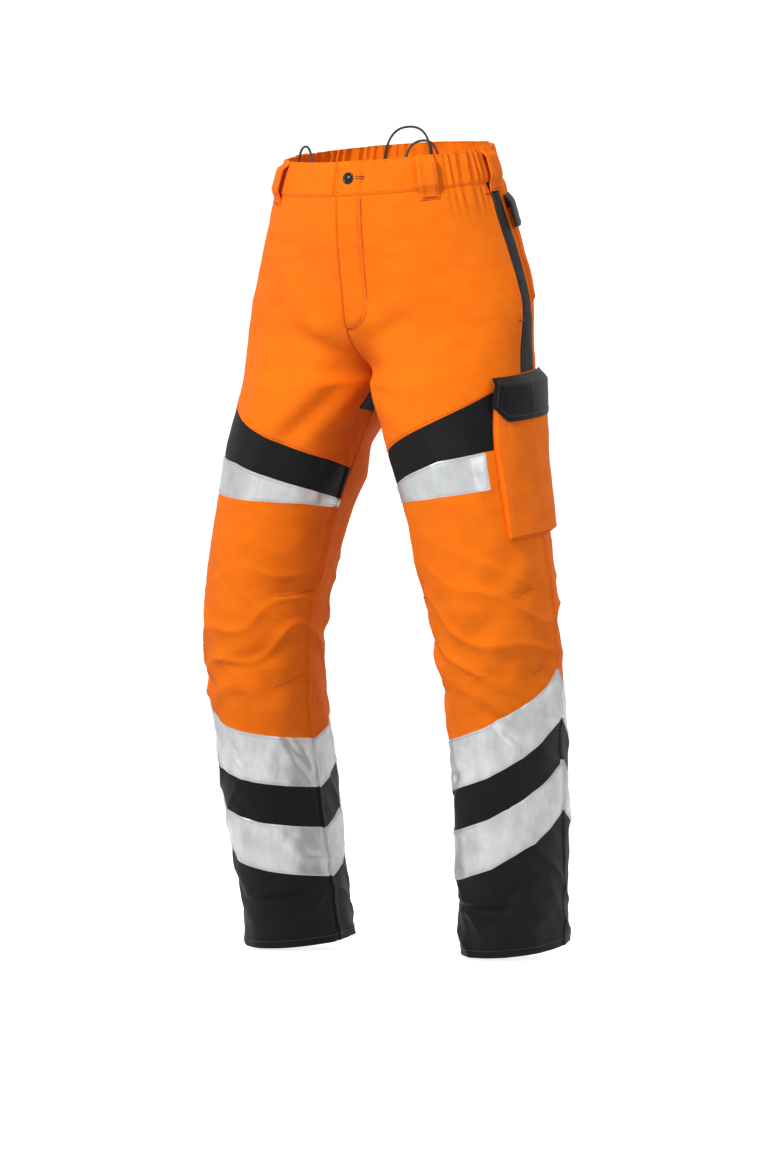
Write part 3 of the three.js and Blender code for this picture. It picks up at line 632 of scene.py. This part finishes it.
def speckled(name, dark, light, roughness, scale, metallic=0.0, specular=0.5, strength=0.2, sheen=0.0):
    """Metal, lacquer, thread or fleece: fine variation in colour, roughness and surface."""
    base = [(a + b) / 2 for a, b in zip(dark, light)]
    material, nodes, links, shader = node_material(name, base, roughness, sheen, metallic, specular)
    grain = noise(nodes, links, mapped(nodes, links, "Object"), scale, 4.0)
    links.new(ramp(nodes, links, grain, dark, light), shader.inputs["Base Color"])
    smooth, rough = (roughness * 0.8,) * 3, (min(1, roughness * 1.2),) * 3
    links.new(ramp(nodes, links, grain, smooth, rough), shader.inputs["Roughness"])
    bump(nodes, links, shader, [(grain, strength, 0.0004)])
    return material


ORANGE = woven("orange_twill", (0.90, 0.150, 0.001), (1.0, 0.225, 0.002), 0.85, 0.0)
BLACK = woven("black_twill", (0.004, 0.004, 0.0045), (0.009, 0.009, 0.010), 0.55, 0.0, 0.0009,
              specular=0.09, painted_shade_colour=(0.7, 0.7, 0.7))
LINING = woven("black_lining_cloth", (0.016, 0.016, 0.018), (0.034, 0.034, 0.037), 0.7, 0.05, 0.0006,
               painted_shade_colour=(0.8, 0.8, 0.8))
SILVER = reflective("silver_tape")
FLEECE = speckled("pad_fleece", (0.66, 0.63, 0.54), (0.84, 0.82, 0.74), 0.95, 420, strength=0.8, sheen=0.3)
GLOSS = speckled("button_lacquer", (0.004, 0.004, 0.0045), (0.008, 0.008, 0.009), 0.26, 300,
                 specular=0.2, strength=0.02)
METAL = speckled("dull_nickel", (0.36, 0.36, 0.37), (0.50, 0.50, 0.51), 0.34, 500, metallic=1.0, strength=0.1)
CORD = speckled("cord_braid", (0.010, 0.010, 0.011), (0.035, 0.035, 0.038), 0.75, 900, strength=0.9)
THREADS = {
    "orange": speckled("thread_orange", (0.75, 0.10, 0.004), (0.95, 0.17, 0.006), 0.6, 1500),
    "red": speckled("thread_dark_red", (0.10, 0.006, 0.012), (0.20, 0.012, 0.02), 0.6, 1500),
    "black": speckled("thread_black", (0.02, 0.02, 0.022), (0.05, 0.05, 0.053), 0.5, 1500),
    "grey": speckled("thread_grey", (0.40, 0.41, 0.42), (0.58, 0.59, 0.60), 0.5, 1500),
}


def joint(name):
    return next(j for j in frame["record"]["behaviour"]["joints"] if j["name"] == name)


def ride(obj, group):
    """Rides on a body, or, when the group is a leg, has its transform baked into its mesh."""
    if group in ("leg_left", "leg_right"):
        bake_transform(obj)
    else:
        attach(obj, group)


def place_group(obj, group):
    """Says what a piece of stitching rides on."""
    ride(obj, group)


def done(obj, material, group, *nodes):
    """Puts a piece on what it rides on, and hides the CAD nodes it stands for."""
    ride(obj, group)
    if nodes:
        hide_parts(*nodes)
    return obj


def sewn(group, node, name, side, start, end, low, high, material, **options):
    """A panel that rides with a group and stands for a CAD node, or for none."""
    obj = panel(name, side, start, end, low, high, material, **options)
    return done(obj, material, group, *([node] if node else []))


# ---- edges between the panels ----
def below(level, drops):
    """A height for each u, from (u, drop below the level) points."""
    us, values = zip(*drops)
    return lambda u: level - np.interp(u, us, values)


def backness(u):
    return np.maximum(0, np.sin(2 * np.pi * u))


def knee_top(u):
    return KNEE_HEIGHT + KNEE_HALF_TOP + KNEE_BACK_EXTRA * backness(u)


def knee_bottom(u):
    return KNEE_HEIGHT - KNEE_HALF_BOTTOM - KNEE_BACK_EXTRA * backness(u)


band_top = below(INSEAM, [(0.5, 5), (0.6, 22), (1, 126)])
band_end = below(INSEAM, [(0.5, 93), (0.6, 96), (0.7, 102), (0.8, 122), (0.9, 145), (1, 169)])
tape_end = below(INSEAM, [(0.5, 145), (0.6, 147), (0.7, 150), (0.8, 156), (0.9, 165), (1, 180)])
shin_tape_top = below(KNEE_HEIGHT, [(0, 163), (0.12, 138), (0.28, 118), (0.37, 98), (0.46, 62), (0.5, 76),
                                    (0.55, 92), (0.6, 105), (0.7, 128), (0.8, 142), (0.9, 153), (1, 163)])
gusset_low = below(INSEAM, [(0, GUSSET_DROP), (GUSSET_U, 0), (1, 0)])
gusset_high = below(INSEAM, [(0, -GUSSET_RISE), (GUSSET_U, 0), (1, 0)])


def shin_edge(drop):
    return lambda u: shin_tape_top(u) - drop


def gusset_tip_low(u):
    return INSEAM - 40 - 200 * (u - 0.958)


def gusset_tip_high(u):
    return INSEAM - 38 + 56 * smoothstep(u, 0.955, 0.994)


def strip_front(v):
    return 0.5 + (STRIP_TOP_U - 0.5) * v


def strip_back(v):
    return strip_front(v) - STRIP_WIDTH_U


def pocket_edge(a, v, u, height):
    """The side pocket's folded edge stands a little off the strip behind it."""
    return 1.3 * bell(a, 0.035) * smoothstep(height, 850, 880) * (1 - smoothstep(height, 1035, 1050))


def quilting(_a, _v, u, height):
    """The pad's quilted channels."""
    return 1.1 * np.abs(np.sin(np.pi * u * 11)) * np.abs(np.sin(np.pi * height / 70)) - 0.6


# The left thigh tape starts at the cargo pocket.
THIGH_TAPE_FROM = {1: 0.6, -1: 0.5}


def leg_panels(name, side):
    leg = f"leg_{name}"
    unsewn = (0, 0, 0)
    shin_seam = shin_edge(TAPE_WIDTH / 2)

    def add(group, node, piece, start, end, low, high, material, **options):
        node = node and f"{node}_{name}"
        return sewn(group, node, f"{piece}_{name}", side, start, end, low, high, material, **options)

    add("upper", "front_panel", "front", strip_front, 1.0, band_top, BAND_BOTTOM, ORANGE, profile=pocket_edge)
    add("upper", "side_strip", "side_strip_cloth", strip_back, strip_front, INSEAM, BAND_BOTTOM, BLACK)
    add("upper", "back_seat", "seat", 0.0, strip_back, gusset_high, BAND_BOTTOM, ORANGE)
    add("upper", "crotch_gusset", "gusset", 0.0, GUSSET_U, gusset_low, gusset_high, BLACK, step=3.0)
    add("upper", None, "gusset_tip", 0.958, 1.0, gusset_tip_low, gusset_tip_high, BLACK,
        offset=0.9, thick=0.8, step=2.0)
    add(leg, "back_thigh", "thigh_back", 0.0, 0.5, knee_top, gusset_low, ORANGE, seams=(0, 0.6, 0))
    add("upper", "thigh_band", "thigh_band_cloth", 0.5, 1.0, band_end, band_top, BLACK)
    add(leg, "front_thigh", "thigh_front", 0.5, 1.0, knee_top, band_end, ORANGE, seams=unsewn)
    add("upper", "thigh_tape", "thigh_tape_strip", THIGH_TAPE_FROM[side], 1.0, tape_end, band_end, SILVER,
        offset=0.8, thick=0.6, step=3.0)
    add(leg, "knee_sleeve", "knee", 0.0, 1.0, knee_bottom, knee_top, ORANGE, ring=True, seams=unsewn)
    add(leg, "shin_panel", "shin", 0.0, 1.0, shin_seam, knee_bottom, ORANGE, ring=True, seams=unsewn)
    add(leg, "lower_leg", "lower_leg_cloth", 0.0, 1.0, 0.0, shin_seam, BLACK, ring=True, seams=unsewn)
    for part, drop in (("upper", 0.0), ("lower", TAPE_PITCH)):
        add(leg, f"shin_tape_{part}", f"shin_tape_strip_{part}", 0.0, 1.0, shin_edge(drop + TAPE_WIDTH),
            shin_edge(drop), SILVER, offset=0.9, thick=0.6, ring=True, step=3.0)
    add(leg, "hem_facing", "hem_turning", 0.0, 1.0, 0.6, HEM_FACING_HEIGHT, LINING,
        offset=-CLOTH - 0.5, thick=0.8, ring=True, step=5.0, seams=unsewn)
    pad = add(leg, "cut_pad", "pad", 0.55, 0.85, PAD_BOTTOM, PAD_TOP, FLEECE,
              offset=-14.0, thick=4.5, step=9.0, flat=0.6, profile=quilting, held=None)
    add("upper", "pocket_bag", "pocket_bag_cloth", 0.55, 0.75, INSEAM + 0.28 * RISE, BAND_BOTTOM - 4, LINING,
        offset=-6.0, thick=0.8, step=6.0, flat=0.8)


def seam_runs(seam_u, top):
    """A seam's heights split into runs by what it crosses: (colour, lift, heights)."""
    heights = np.linspace(top, 4, 420)
    tape = shin_tape_top(seam_u(heights))
    on_tape = ((heights < tape) & (heights > tape - TAPE_WIDTH)) | \
              ((heights < tape - TAPE_PITCH) & (heights > tape - TAPE_PITCH - TAPE_WIDTH))
    kind = np.where(on_tape, 1, np.where(heights > tape, 0, 2))
    for run in np.split(np.arange(len(heights)), np.flatnonzero(np.diff(kind)) + 1):
        if len(run) > 3:
            yield ("orange", "grey", "black")[kind[run[0]]], (0.55, 1.7, 0.55)[kind[run[0]]], heights[run]


def seam_stitches(name, side):
    leg = f"leg_{name}"
    for seam_u, top in ((inseam_u, INSEAM - 46), (outseam_u, INSEAM - 8)):
        for colour, lift, run in seam_runs(seam_u, top):
            for distance in (1.8, 6.4):
                thread.along(leg, colour, side, seam_u(run) - distance / stretch(0.97, run), run, lift, radius=0.5)
    front = np.linspace(0.503, 0.995, 150)
    tape_us = np.linspace(max(THIGH_TAPE_FROM[side], 0.503), 0.995, 150)
    thread.along("upper", "orange", side, front, band_top(front) + 3.4)
    thread.along("upper", "grey", side, tape_us, band_end(tape_us) - 2.6, 1.7)
    thread.along("upper", "grey", side, tape_us, tape_end(tape_us) + 2.6, 1.7)
    around = np.linspace(0.0, 1.0, 260)
    for drop in (0.0, TAPE_PITCH):
        thread.along(leg, "grey", side, around, shin_tape_top(around) - drop - 2.6, 1.8)
        thread.along(leg, "grey", side, around, shin_tape_top(around) - drop - TAPE_WIDTH + 2.6, 1.8)
    thread.along(leg, "black", side, around, np.full(260, 10.0))
    for (u0, h0), (u1, h1) in DARTS:
        thread.along(leg, "red", side, np.linspace(u0, u1, 30), np.linspace(h0, h1, 30) - 2.6, 0.5, radius=0.45)
    v = np.linspace(0, 1, 90)
    heights = INSEAM + (BAND_BOTTOM - INSEAM) * v
    thread.along("upper", "orange", side, strip_front(v) + 3.0 / stretch(0.52, heights), heights, 0.9)
    thread.along("upper", "black", side, strip_front(v) - 3.0 / stretch(0.5, heights), heights)
    thread.along("upper", "black", side, strip_back(v) + 3.0 / stretch(0.46, heights), heights)
    for height in (1036.0, 862.0):
        edge = strip_front((height - INSEAM) / (BAND_BOTTOM - INSEAM))
        us = edge + np.array([-4.0, 10.0]) / stretch(0.52, height)
        thread.along("upper", "red", side, us, np.full(2, height), 1.6, pitch=0.9, length=1.2, radius=0.8)
    seat = np.linspace(INSEAM + 45, BAND_BOTTOM - 3, 120)
    thread.along("upper", "orange", side, 3.0 / stretch(0.02, seat), seat)
    crotch = np.linspace(FLY_END - 18, INSEAM + 4, 60)
    thread.along("upper", "orange", side, 1 - 3.2 / stretch(0.98, crotch), crotch)
    band_us = np.linspace(0.1, 0.97, 220)
    thread.along("upper", "orange", side, band_us, np.full(220, BAND_BOTTOM + 3.0), 1.4)
    thread.along("upper", "red", side, band_us, np.full(220, OUTSEAM - 2.4), 1.4, pitch=6.2, radius=0.32)


# ---- waist ----
def ring_u(across):
    return 1 - across / stretch(1.0, OUTSEAM)


def underlap(_a, _v, u):
    """Steps the right front's band in behind the left one's, where they lap."""
    return 1.0 - 4.9 * smoothstep(u, ring_u(9.0), ring_u(4.5))


def band_piece(name, side, start, end, node, offset=1.0):
    sewn("upper", node, name, side, start, end, BAND_BOTTOM, OUTSEAM, ORANGE, offset=offset, thick=3.0, step=2.4,
         crosses=True, held="gathered", on="front_panel_left")


def waistband():
    band_piece("band_front_left", 1, 0.5, ring_u(-2.0), "waistband_front_left")
    band_piece("band_front_right", -1, 0.5, 2 - ring_u(38.0), "waistband_front_right", underlap)
    band_piece("band_back", 1, -0.5, 0.5, "waistband_back")
    tab = np.linspace(BAND_BOTTOM + 3, OUTSEAM - 3, 20)
    thread.along("upper", "red", 1, np.full(20, ring_u(1.2)), tab, 1.5, pitch=5.0)


def turned_rings(points, segments):
    """Points and faces of a surface turned about Z from (radius, height) points, open at both ends."""
    turns = [2 * math.pi * k / segments for k in range(segments)]
    verts = [(r * math.cos(turn), r * math.sin(turn), z) for r, z in points for turn in turns]
    faces = []
    for j in range(0, (len(points) - 1) * segments, segments):
        for k in range(segments):
            m = (k + 1) % segments
            faces.append((j + k, j + m, j + segments + m, j + segments + k))
    return verts, faces


def turned_mesh(name, points, segments, material, origin, axis):
    """A closed turned shape about an axis from (radius, height) points in mm."""
    turn = Vector(axis).normalized().to_track_quat("Z", "Y").to_matrix()
    verts, faces = turned_rings(points, segments)
    faces.append(tuple(range(segments))[::-1])
    faces.append(tuple((len(points) - 1) * segments + k for k in range(segments)))
    return make_object(name, [tuple(Vector(origin) + turn @ Vector(v)) for v in verts], faces, material)


def button():
    swivel = joint("waist_button_swivel")
    origin = np.array(swivel["pos_m"]) * 1000
    dome = [(2.0, -3.6), (2.0, 1.0), (6.6, 1.0), (7.9, 1.3), (8.4, 2.0), (8.2, 2.7), (7.5, 3.1), (6.6, 3.1)]
    dome += [(6.2 * math.cos(a), 3.0 + 2.1 * math.sin(a)) for a in np.linspace(0, 1.45, 9)]
    obj = turned_mesh("button_dome", dome, 48, GLOSS, origin, swivel["axis"])
    done(obj, GLOSS, "button", "waist_button")
    height = OUTSEAM - WAISTBAND_HEIGHT / 2
    for shift in (1.6, -1.6):
        us = ring_u(np.linspace(27.0, 38.5, 12))
        thread.along("upper", "red", 1, us, np.full(12, height + shift), 1.5, pitch=0.8, length=1.3, radius=0.5)
    thread.along("upper", "red", 1, ring_u(np.full(6, 39.0)), np.linspace(height - 3, height + 3, 6), 1.5,
                 pitch=0.8, length=1.3, radius=0.6)


def loop_arch(v):
    """0 where a belt loop is sewn down, 1 where it stands off the waistband."""
    return smoothstep(v, 0.1, 0.34) * (1 - smoothstep(v, 0.74, 0.94))


def loop_stand(a, v, _u):
    rib = 0.7 * bell(np.abs(a - 0.5) - 0.30, 0.10)
    return 3.6 + smoothstep(v, 0, 0.15) + LOOP_GAP * loop_arch(v) + rib


def belt_loop(node, side, u):
    half = LOOP_WIDTH / 2 / float(stretch(u, BAND_BOTTOM))
    low = BAND_BOTTOM - LOOP_DROP
    sewn("upper", node, f"{node}_strip", side, u - half, u + half, low, OUTSEAM + 0.5, ORANGE, offset=loop_stand,
         thick=2.0, step=1.6, crosses=True, flat=0.25, held="folded")
    v = np.linspace(0.02, 0.98, 40)
    for shift in (-0.6, 0.6):
        places, normals = cloth(side, np.full(40, u + shift * half), low + (OUTSEAM - low) * v, 0.0, 0.25)
        places += normals * (4.9 + smoothstep(v, 0, 0.15) + LOOP_GAP * loop_arch(v))[:, None]
        places[:, 2] -= OUTSEAM
        thread.add("upper", "orange", places, normals)
    tack = np.linspace(u - 0.8 * half, u + 0.8 * half, 8)
    places, normals = cloth(side, tack, np.full(8, low + 2.5), 4.2, 0.25)
    places[:, 2] -= OUTSEAM
    thread.add("upper", "red", places, normals, pitch=0.9, length=1.3, radius=0.6)


def brace_loop(node, start, end):
    """A cord from inside the waistband up in an arch and back in, between two places round the waist."""
    inside = -7.0
    half = [(0, -BRACE_SEWN), (0, -BRACE_SEWN / 2), (0.03, 4), (0.22, 21)]
    stations = half + [(0.5, BRACE_RISE)] + [(1 - t, rise) for t, rise in half[::-1]]
    points = []
    for t, rise in stations:
        u = np.array(start + (end - start) * t)
        height = OUTSEAM + rise
        lean = 2 if t == 0.5 else 0
        way = outward(1, u, np.array(min(height, OUTSEAM - 2)))
        place = plain(1, u, np.array(height)) + way * (inside - lean)
        points.append((place - (0, 0, OUTSEAM)) * MM)
    curve = bpy.data.curves.new(node, "CURVE")
    curve.dimensions = "3D"
    curve.bevel_depth = BRACE_RADIUS * MM
    curve.bevel_resolution = 4
    curve.resolution_u = 8
    curve.use_fill_caps = True
    spline = curve.splines.new("NURBS")
    spline.points.add(len(points) - 1)
    for point, place in zip(spline.points, points):
        point.co = (*place, 1)
    spline.order_u = 4
    spline.use_endpoint_u = True
    obj = bpy.data.objects.new(f"{node}_cord", curve)
    obj.data.materials.append(CORD)
    bpy.context.scene.collection.objects.link(obj)
    done(obj, CORD, "upper", node)


# ---- pockets ----
def pocket(name, node, spec, bellows):
    """A patch pocket with folded sides, full in the middle, open at the top."""
    perim = float(stretch(spec["u"], spec["top"] - spec["height"] / 2))
    half, depth = spec["width"] / 2, spec["depth"]
    bottom = spec["top"] - MOUTH_DROP - spec["height"]
    fold = 2.4 if bellows else 0.4
    full_lift = depth + 0.6
    side_walk = [(0, 0.8), (2.5, 1.2), (3.2, 0.34 * depth), (3.2 - fold, 0.48 * depth), (3.2, 0.62 * depth),
                 (3.0, 0.93 * depth), (4.4, full_lift)]
    inner_s = np.linspace(7, 2 * half - 7, 40)
    s = np.array([p[0] for p in side_walk] + list(inner_s) + [2 * half - p[0] for p in side_walk[::-1]]) - half
    lift_s = np.array([p[1] for p in side_walk] + [full_lift] * 40 + [p[1] for p in side_walk[::-1]])
    rise = np.linspace(7, spec["height"], 54)
    h = np.array([p[0] for p in side_walk] + list(rise)) + bottom
    lift_h = np.array([p[1] for p in side_walk] + [full_lift] * 54)
    u, height = np.meshgrid(spec["u"] + s / perim, h, indexing="ij")
    lift = np.minimum(lift_s[:, None], lift_h[None, :])
    x, y = np.meshgrid(s / half, (h - bottom) / spec["height"], indexing="ij")
    full = np.clip(1 - x ** 2, 0, 1) * np.sin(np.pi * np.clip(0.15 + 0.8 * y, 0, 1))
    place, normal = cloth(1, u, height, 0.0, 0.35)
    ripple = 0.7 * waves(place, 41, 8, 30, 90)
    lift = lift + np.where(lift > depth, 0.16 * depth * full * (1 if bellows else 0.5) + ripple, 0)
    outer = place + normal * lift[..., None]
    inner = outer - normal * 1.4
    verts, faces = sheet_mesh(outer, inner)
    verts[:, 2] -= OUTSEAM
    uv = np.stack([s[:, None] * MM + 0 * height, height * MM], -1).reshape(-1, 2)
    obj = done(make_object(name, verts, faces.tolist(), ORANGE, np.concatenate([uv, uv])), ORANGE, "upper", node)
    declare_cloth(obj, outer, held="folded", on="front_thigh_left" if bellows else "back_seat_left")
    for distance in (9.0, 13.0) if bellows else (6.0,):
        for edge in (-1, 1):
            index = np.abs(s - edge * (half - distance)).argmin()
            line = outer[index, 9:] - (0, 0, OUTSEAM)
            thread.add("upper", "orange", line, normal[index, 9:])
        index = np.abs(h - bottom - distance).argmin()
        thread.add("upper", "orange", outer[9:-9, index] - (0, 0, OUTSEAM), normal[9:-9, index])


def flap(name, node, body, spec):
    """A pocket flap: two layers of cloth hanging from its upper edge, with a stitched border."""
    perim = float(stretch(spec["u"], spec["top"] - spec["flap"]))
    half = (spec["width"] / 2 + FLAP_LAP) / perim
    columns, rows = 74, 30
    a = np.linspace(-1, 1, columns + 1)[:, None]
    v = np.linspace(0, 1, rows + 1)[None, :]
    corner = smoothstep(a, 0.62, 0.98) * np.clip((a - 0.6) / 0.4, 0, 1) ** 0.3
    low = spec["top"] - spec["flap"] + spec["chamfer"] * corner
    height = low + (spec["top"] - low) * v
    u = spec["u"] + a * half + 0 * v
    stand = 1.2 + 0.4 * spec["depth"] * v * a ** 2 + (spec["depth"] + 2.2) * smoothstep(1 - v, 0, 0.28)
    edge = np.minimum(np.minimum(v * spec["flap"], (1 - np.abs(a)) * half * perim), (1 - v) * spec["flap"])
    rounding = 0.5 * bell(edge - 6, 2.0) - bell(edge, 1.6)
    place, normal = cloth(1, u, height, 0.0, 0.2)
    ripple = 0.5 * waves(place, 47, 8, 25, 80) + 1.2 * (1 - v) * np.sin(3.0 * a + 0.7)
    outer = place + normal * (stand + 1.6 + rounding + ripple)[..., None]
    inner = place + normal * (stand - 0.2 + ripple)[..., None]
    verts, faces = sheet_mesh(outer, inner)
    verts[:, 2] -= OUTSEAM
    uv = np.stack([a * half * METRES_ROUND + 0 * v, height * MM], -1).reshape(-1, 2)
    obj = done(make_object(name, verts, faces.tolist(), BLACK, np.concatenate([uv, uv])), BLACK, body, node)
    declare_cloth(obj, outer, on=body.replace("flap", "pocket"))
    inset = slice(3, -2)
    for border in ((slice(4, -4), 3), (3, inset), (-4, inset), (slice(2, -2), -3)):
        thread.add(body, "black", outer[border] - (0, 0, OUTSEAM), normal[border])


# ---- fly and zip ----
def zip_teeth():
    """Two rows of teeth along the zip, staggered from side to side."""
    low, high = (Vector(c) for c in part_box("zip_chain"))
    count, aside = 58, 0.6 * MM
    corners = [(x, y, z) for x in (-1.6, 1.6) for y in (-0.7, 0.7) for z in (-0.75, 0.75)]
    quads = ((0, 1, 3, 2), (4, 6, 7, 5), (0, 4, 5, 1), (2, 3, 7, 6), (0, 2, 6, 4), (1, 5, 7, 3))
    verts, faces = [], []
    for k in range(count):
        t = (k + 0.5) / count
        x = (low.x + high.x) / 2 + (aside if k % 2 else -aside)
        centre = np.array([x, high.y - (high.y - low.y) * t, low.z + (high.z - low.z) * t]) * 1000
        faces += [[len(verts) + i for i in quad] for quad in quads]
        verts += [tuple(centre + corner) for corner in corners]
    teeth = done(make_object("zip_teeth", verts, faces, METAL, smooth=False), METAL, "upper", "zip_chain")
    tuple(joint("zip_slide")["axis"])
    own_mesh(teeth)


def repaint(material, *nodes):
    """Gives CAD nodes that show as they are their finished material."""
    for node in nodes:
        slots = frame["nodes"][node].data.materials
        slots.clear()
        slots.append(material)


def fly():
    top = BAND_BOTTOM - 2
    bottom = top - FLY_LENGTH
    edge_u = ring_u(FLY_WIDTH)
    sewn("upper", "fly_facing", "fly_facing_cloth", 1, edge_u, 1.0, bottom, top, ORANGE, offset=-4.6, thick=1.0,
         step=5.0, seams=(0, 0, 0), flat=0.6)
    sewn("upper", "fly_shield", "fly_shield_cloth", 1, edge_u, ring_u(-8), bottom, top, ORANGE, offset=-18.4,
         thick=1.0, step=5.0, crosses=True, seams=(0, 0, 0), flat=0.3)
    zip_teeth()
    repaint(METAL, "zip_slider", "zip_pull", "button_rivet")
    repaint(LINING, "zip_tape_left", "zip_tape_right")
    turn = np.linspace(-math.pi / 2, 0, 24)
    across = np.r_[FLY_WIDTH * np.cos(turn), np.full(60, FLY_WIDTH)] - 3.0
    corner = FLY_END - 12 + FLY_CORNER * (1 + np.sin(turn))
    heights = np.r_[corner, np.linspace(FLY_END + 20, BAND_BOTTOM - 2, 60)] + 1.0
    unit = stretch(0.98, heights)
    thread.along("upper", "orange", 1, 1 - np.maximum(across, 2) / unit, heights, 0.6)
    # Painted shadow: a continuous dark red line of overlapping thread pieces, laid in the groove just outside the
    # fly's raised J-shaped edge.
    thread.along("upper", "red", 1, 1 - np.maximum(across + 5.0, 2) / unit, heights - 2.0, 1.3,
                 pitch=3.0, length=3.1, radius=0.35)
    tack = FLY_END - 13
    thread.along("upper", "red", 1, 1 - np.array([0.5, 9.0]) / stretch(0.98, tack), np.full(2, tack), 1.2,
                 pitch=0.8, length=1.2, radius=0.9)
    straight = np.linspace(FLY_END - 8, BAND_BOTTOM - 3, 60)
    thread.along("upper", "orange", -1, 1 - 3.0 / stretch(0.98, straight), straight)


for name, side in SIDES.items():
    leg_panels(name, side)
    seam_stitches(name, side)
    belt_loop(f"belt_loop_front_{name}", side, 0.735)
    belt_loop(f"belt_loop_side_{name}", side, 0.485)
    belt_loop(f"belt_loop_rear_{name}", side, 0.2)
belt_loop("belt_loop_centre_back", 1, 0.0)
waistband()
button()
brace_loop("brace_loop_front_left", 0.68, 0.8)
brace_loop("brace_loop_front_right", 1.125, 1.22)
brace_loop("brace_loop_rear", -0.02, -0.17)
pocket("cargo_pocket_cloth", "cargo_pocket", CARGO, True)
pocket("rear_pocket_cloth", "rear_pocket", REAR, False)
flap("cargo_flap_cloth", "cargo_flap", "cargo_flap", CARGO)
flap("rear_flap_cloth", "rear_flap", "rear_flap", REAR)
fly()
thread.build(THREADS, place_group)


# ---- studio ----
def studio():
    """A wide white bowl with a level floor, one soft key light, a fill, a rim light and a bright sky."""
    floor = cad_box[0][2] - 0.004
    level, curve = 11.0, 3.0
    rise = [(level + curve * math.sin(a), curve - curve * math.cos(a)) for a in np.linspace(0.1, 1.5, 10)]
    profile = [(0.0, 0.0), (level, 0.0)] + rise + [(level + curve, 12.0)]
    verts, faces = turned_rings([(1000 * r, 1000 * (floor + z)) for r, z in profile], 64)
    material, _, _, shader = node_material("studio_white", (0.93, 0.93, 0.93), 0.9, specular=0.1)
    shader.inputs["Emission Color"].default_value = (1, 1, 1, 1)
    shader.inputs["Emission Strength"].default_value = 0.85
    bowl = make_object("studio_floor", verts, faces, material)
    bowl.visible_shadow = False
    bowl.visible_diffuse = False
    world = bpy.data.worlds.new("studio")
    bpy.context.scene.world = world
    world.use_nodes = True
    world.node_tree.nodes["Background"].inputs["Color"].default_value = (1, 1, 1, 1)
    world.node_tree.nodes["Background"].inputs["Strength"].default_value = 0.36
    aim = Vector((0, 0, -0.5))
    for name, location, size, power in (
        ("key", (-0.6, -3.4, 2.0), 1.1, 165),
        ("fill", (3.8, -1.2, 0.6), 2.2, 46),
        ("rim", (1.0, 3.6, 1.8), 2.0, 44),
    ):
        light = bpy.data.lights.new(name, "AREA")
        light.size = size
        light.energy = power
        obj = bpy.data.objects.new(name, light)
        obj.location = location
        obj.rotation_euler = (Vector(location) - aim).to_track_quat("Z", "Y").to_euler()
        bpy.context.scene.collection.objects.link(obj)
    bpy.context.scene.view_settings.view_transform = "Standard"


studio()
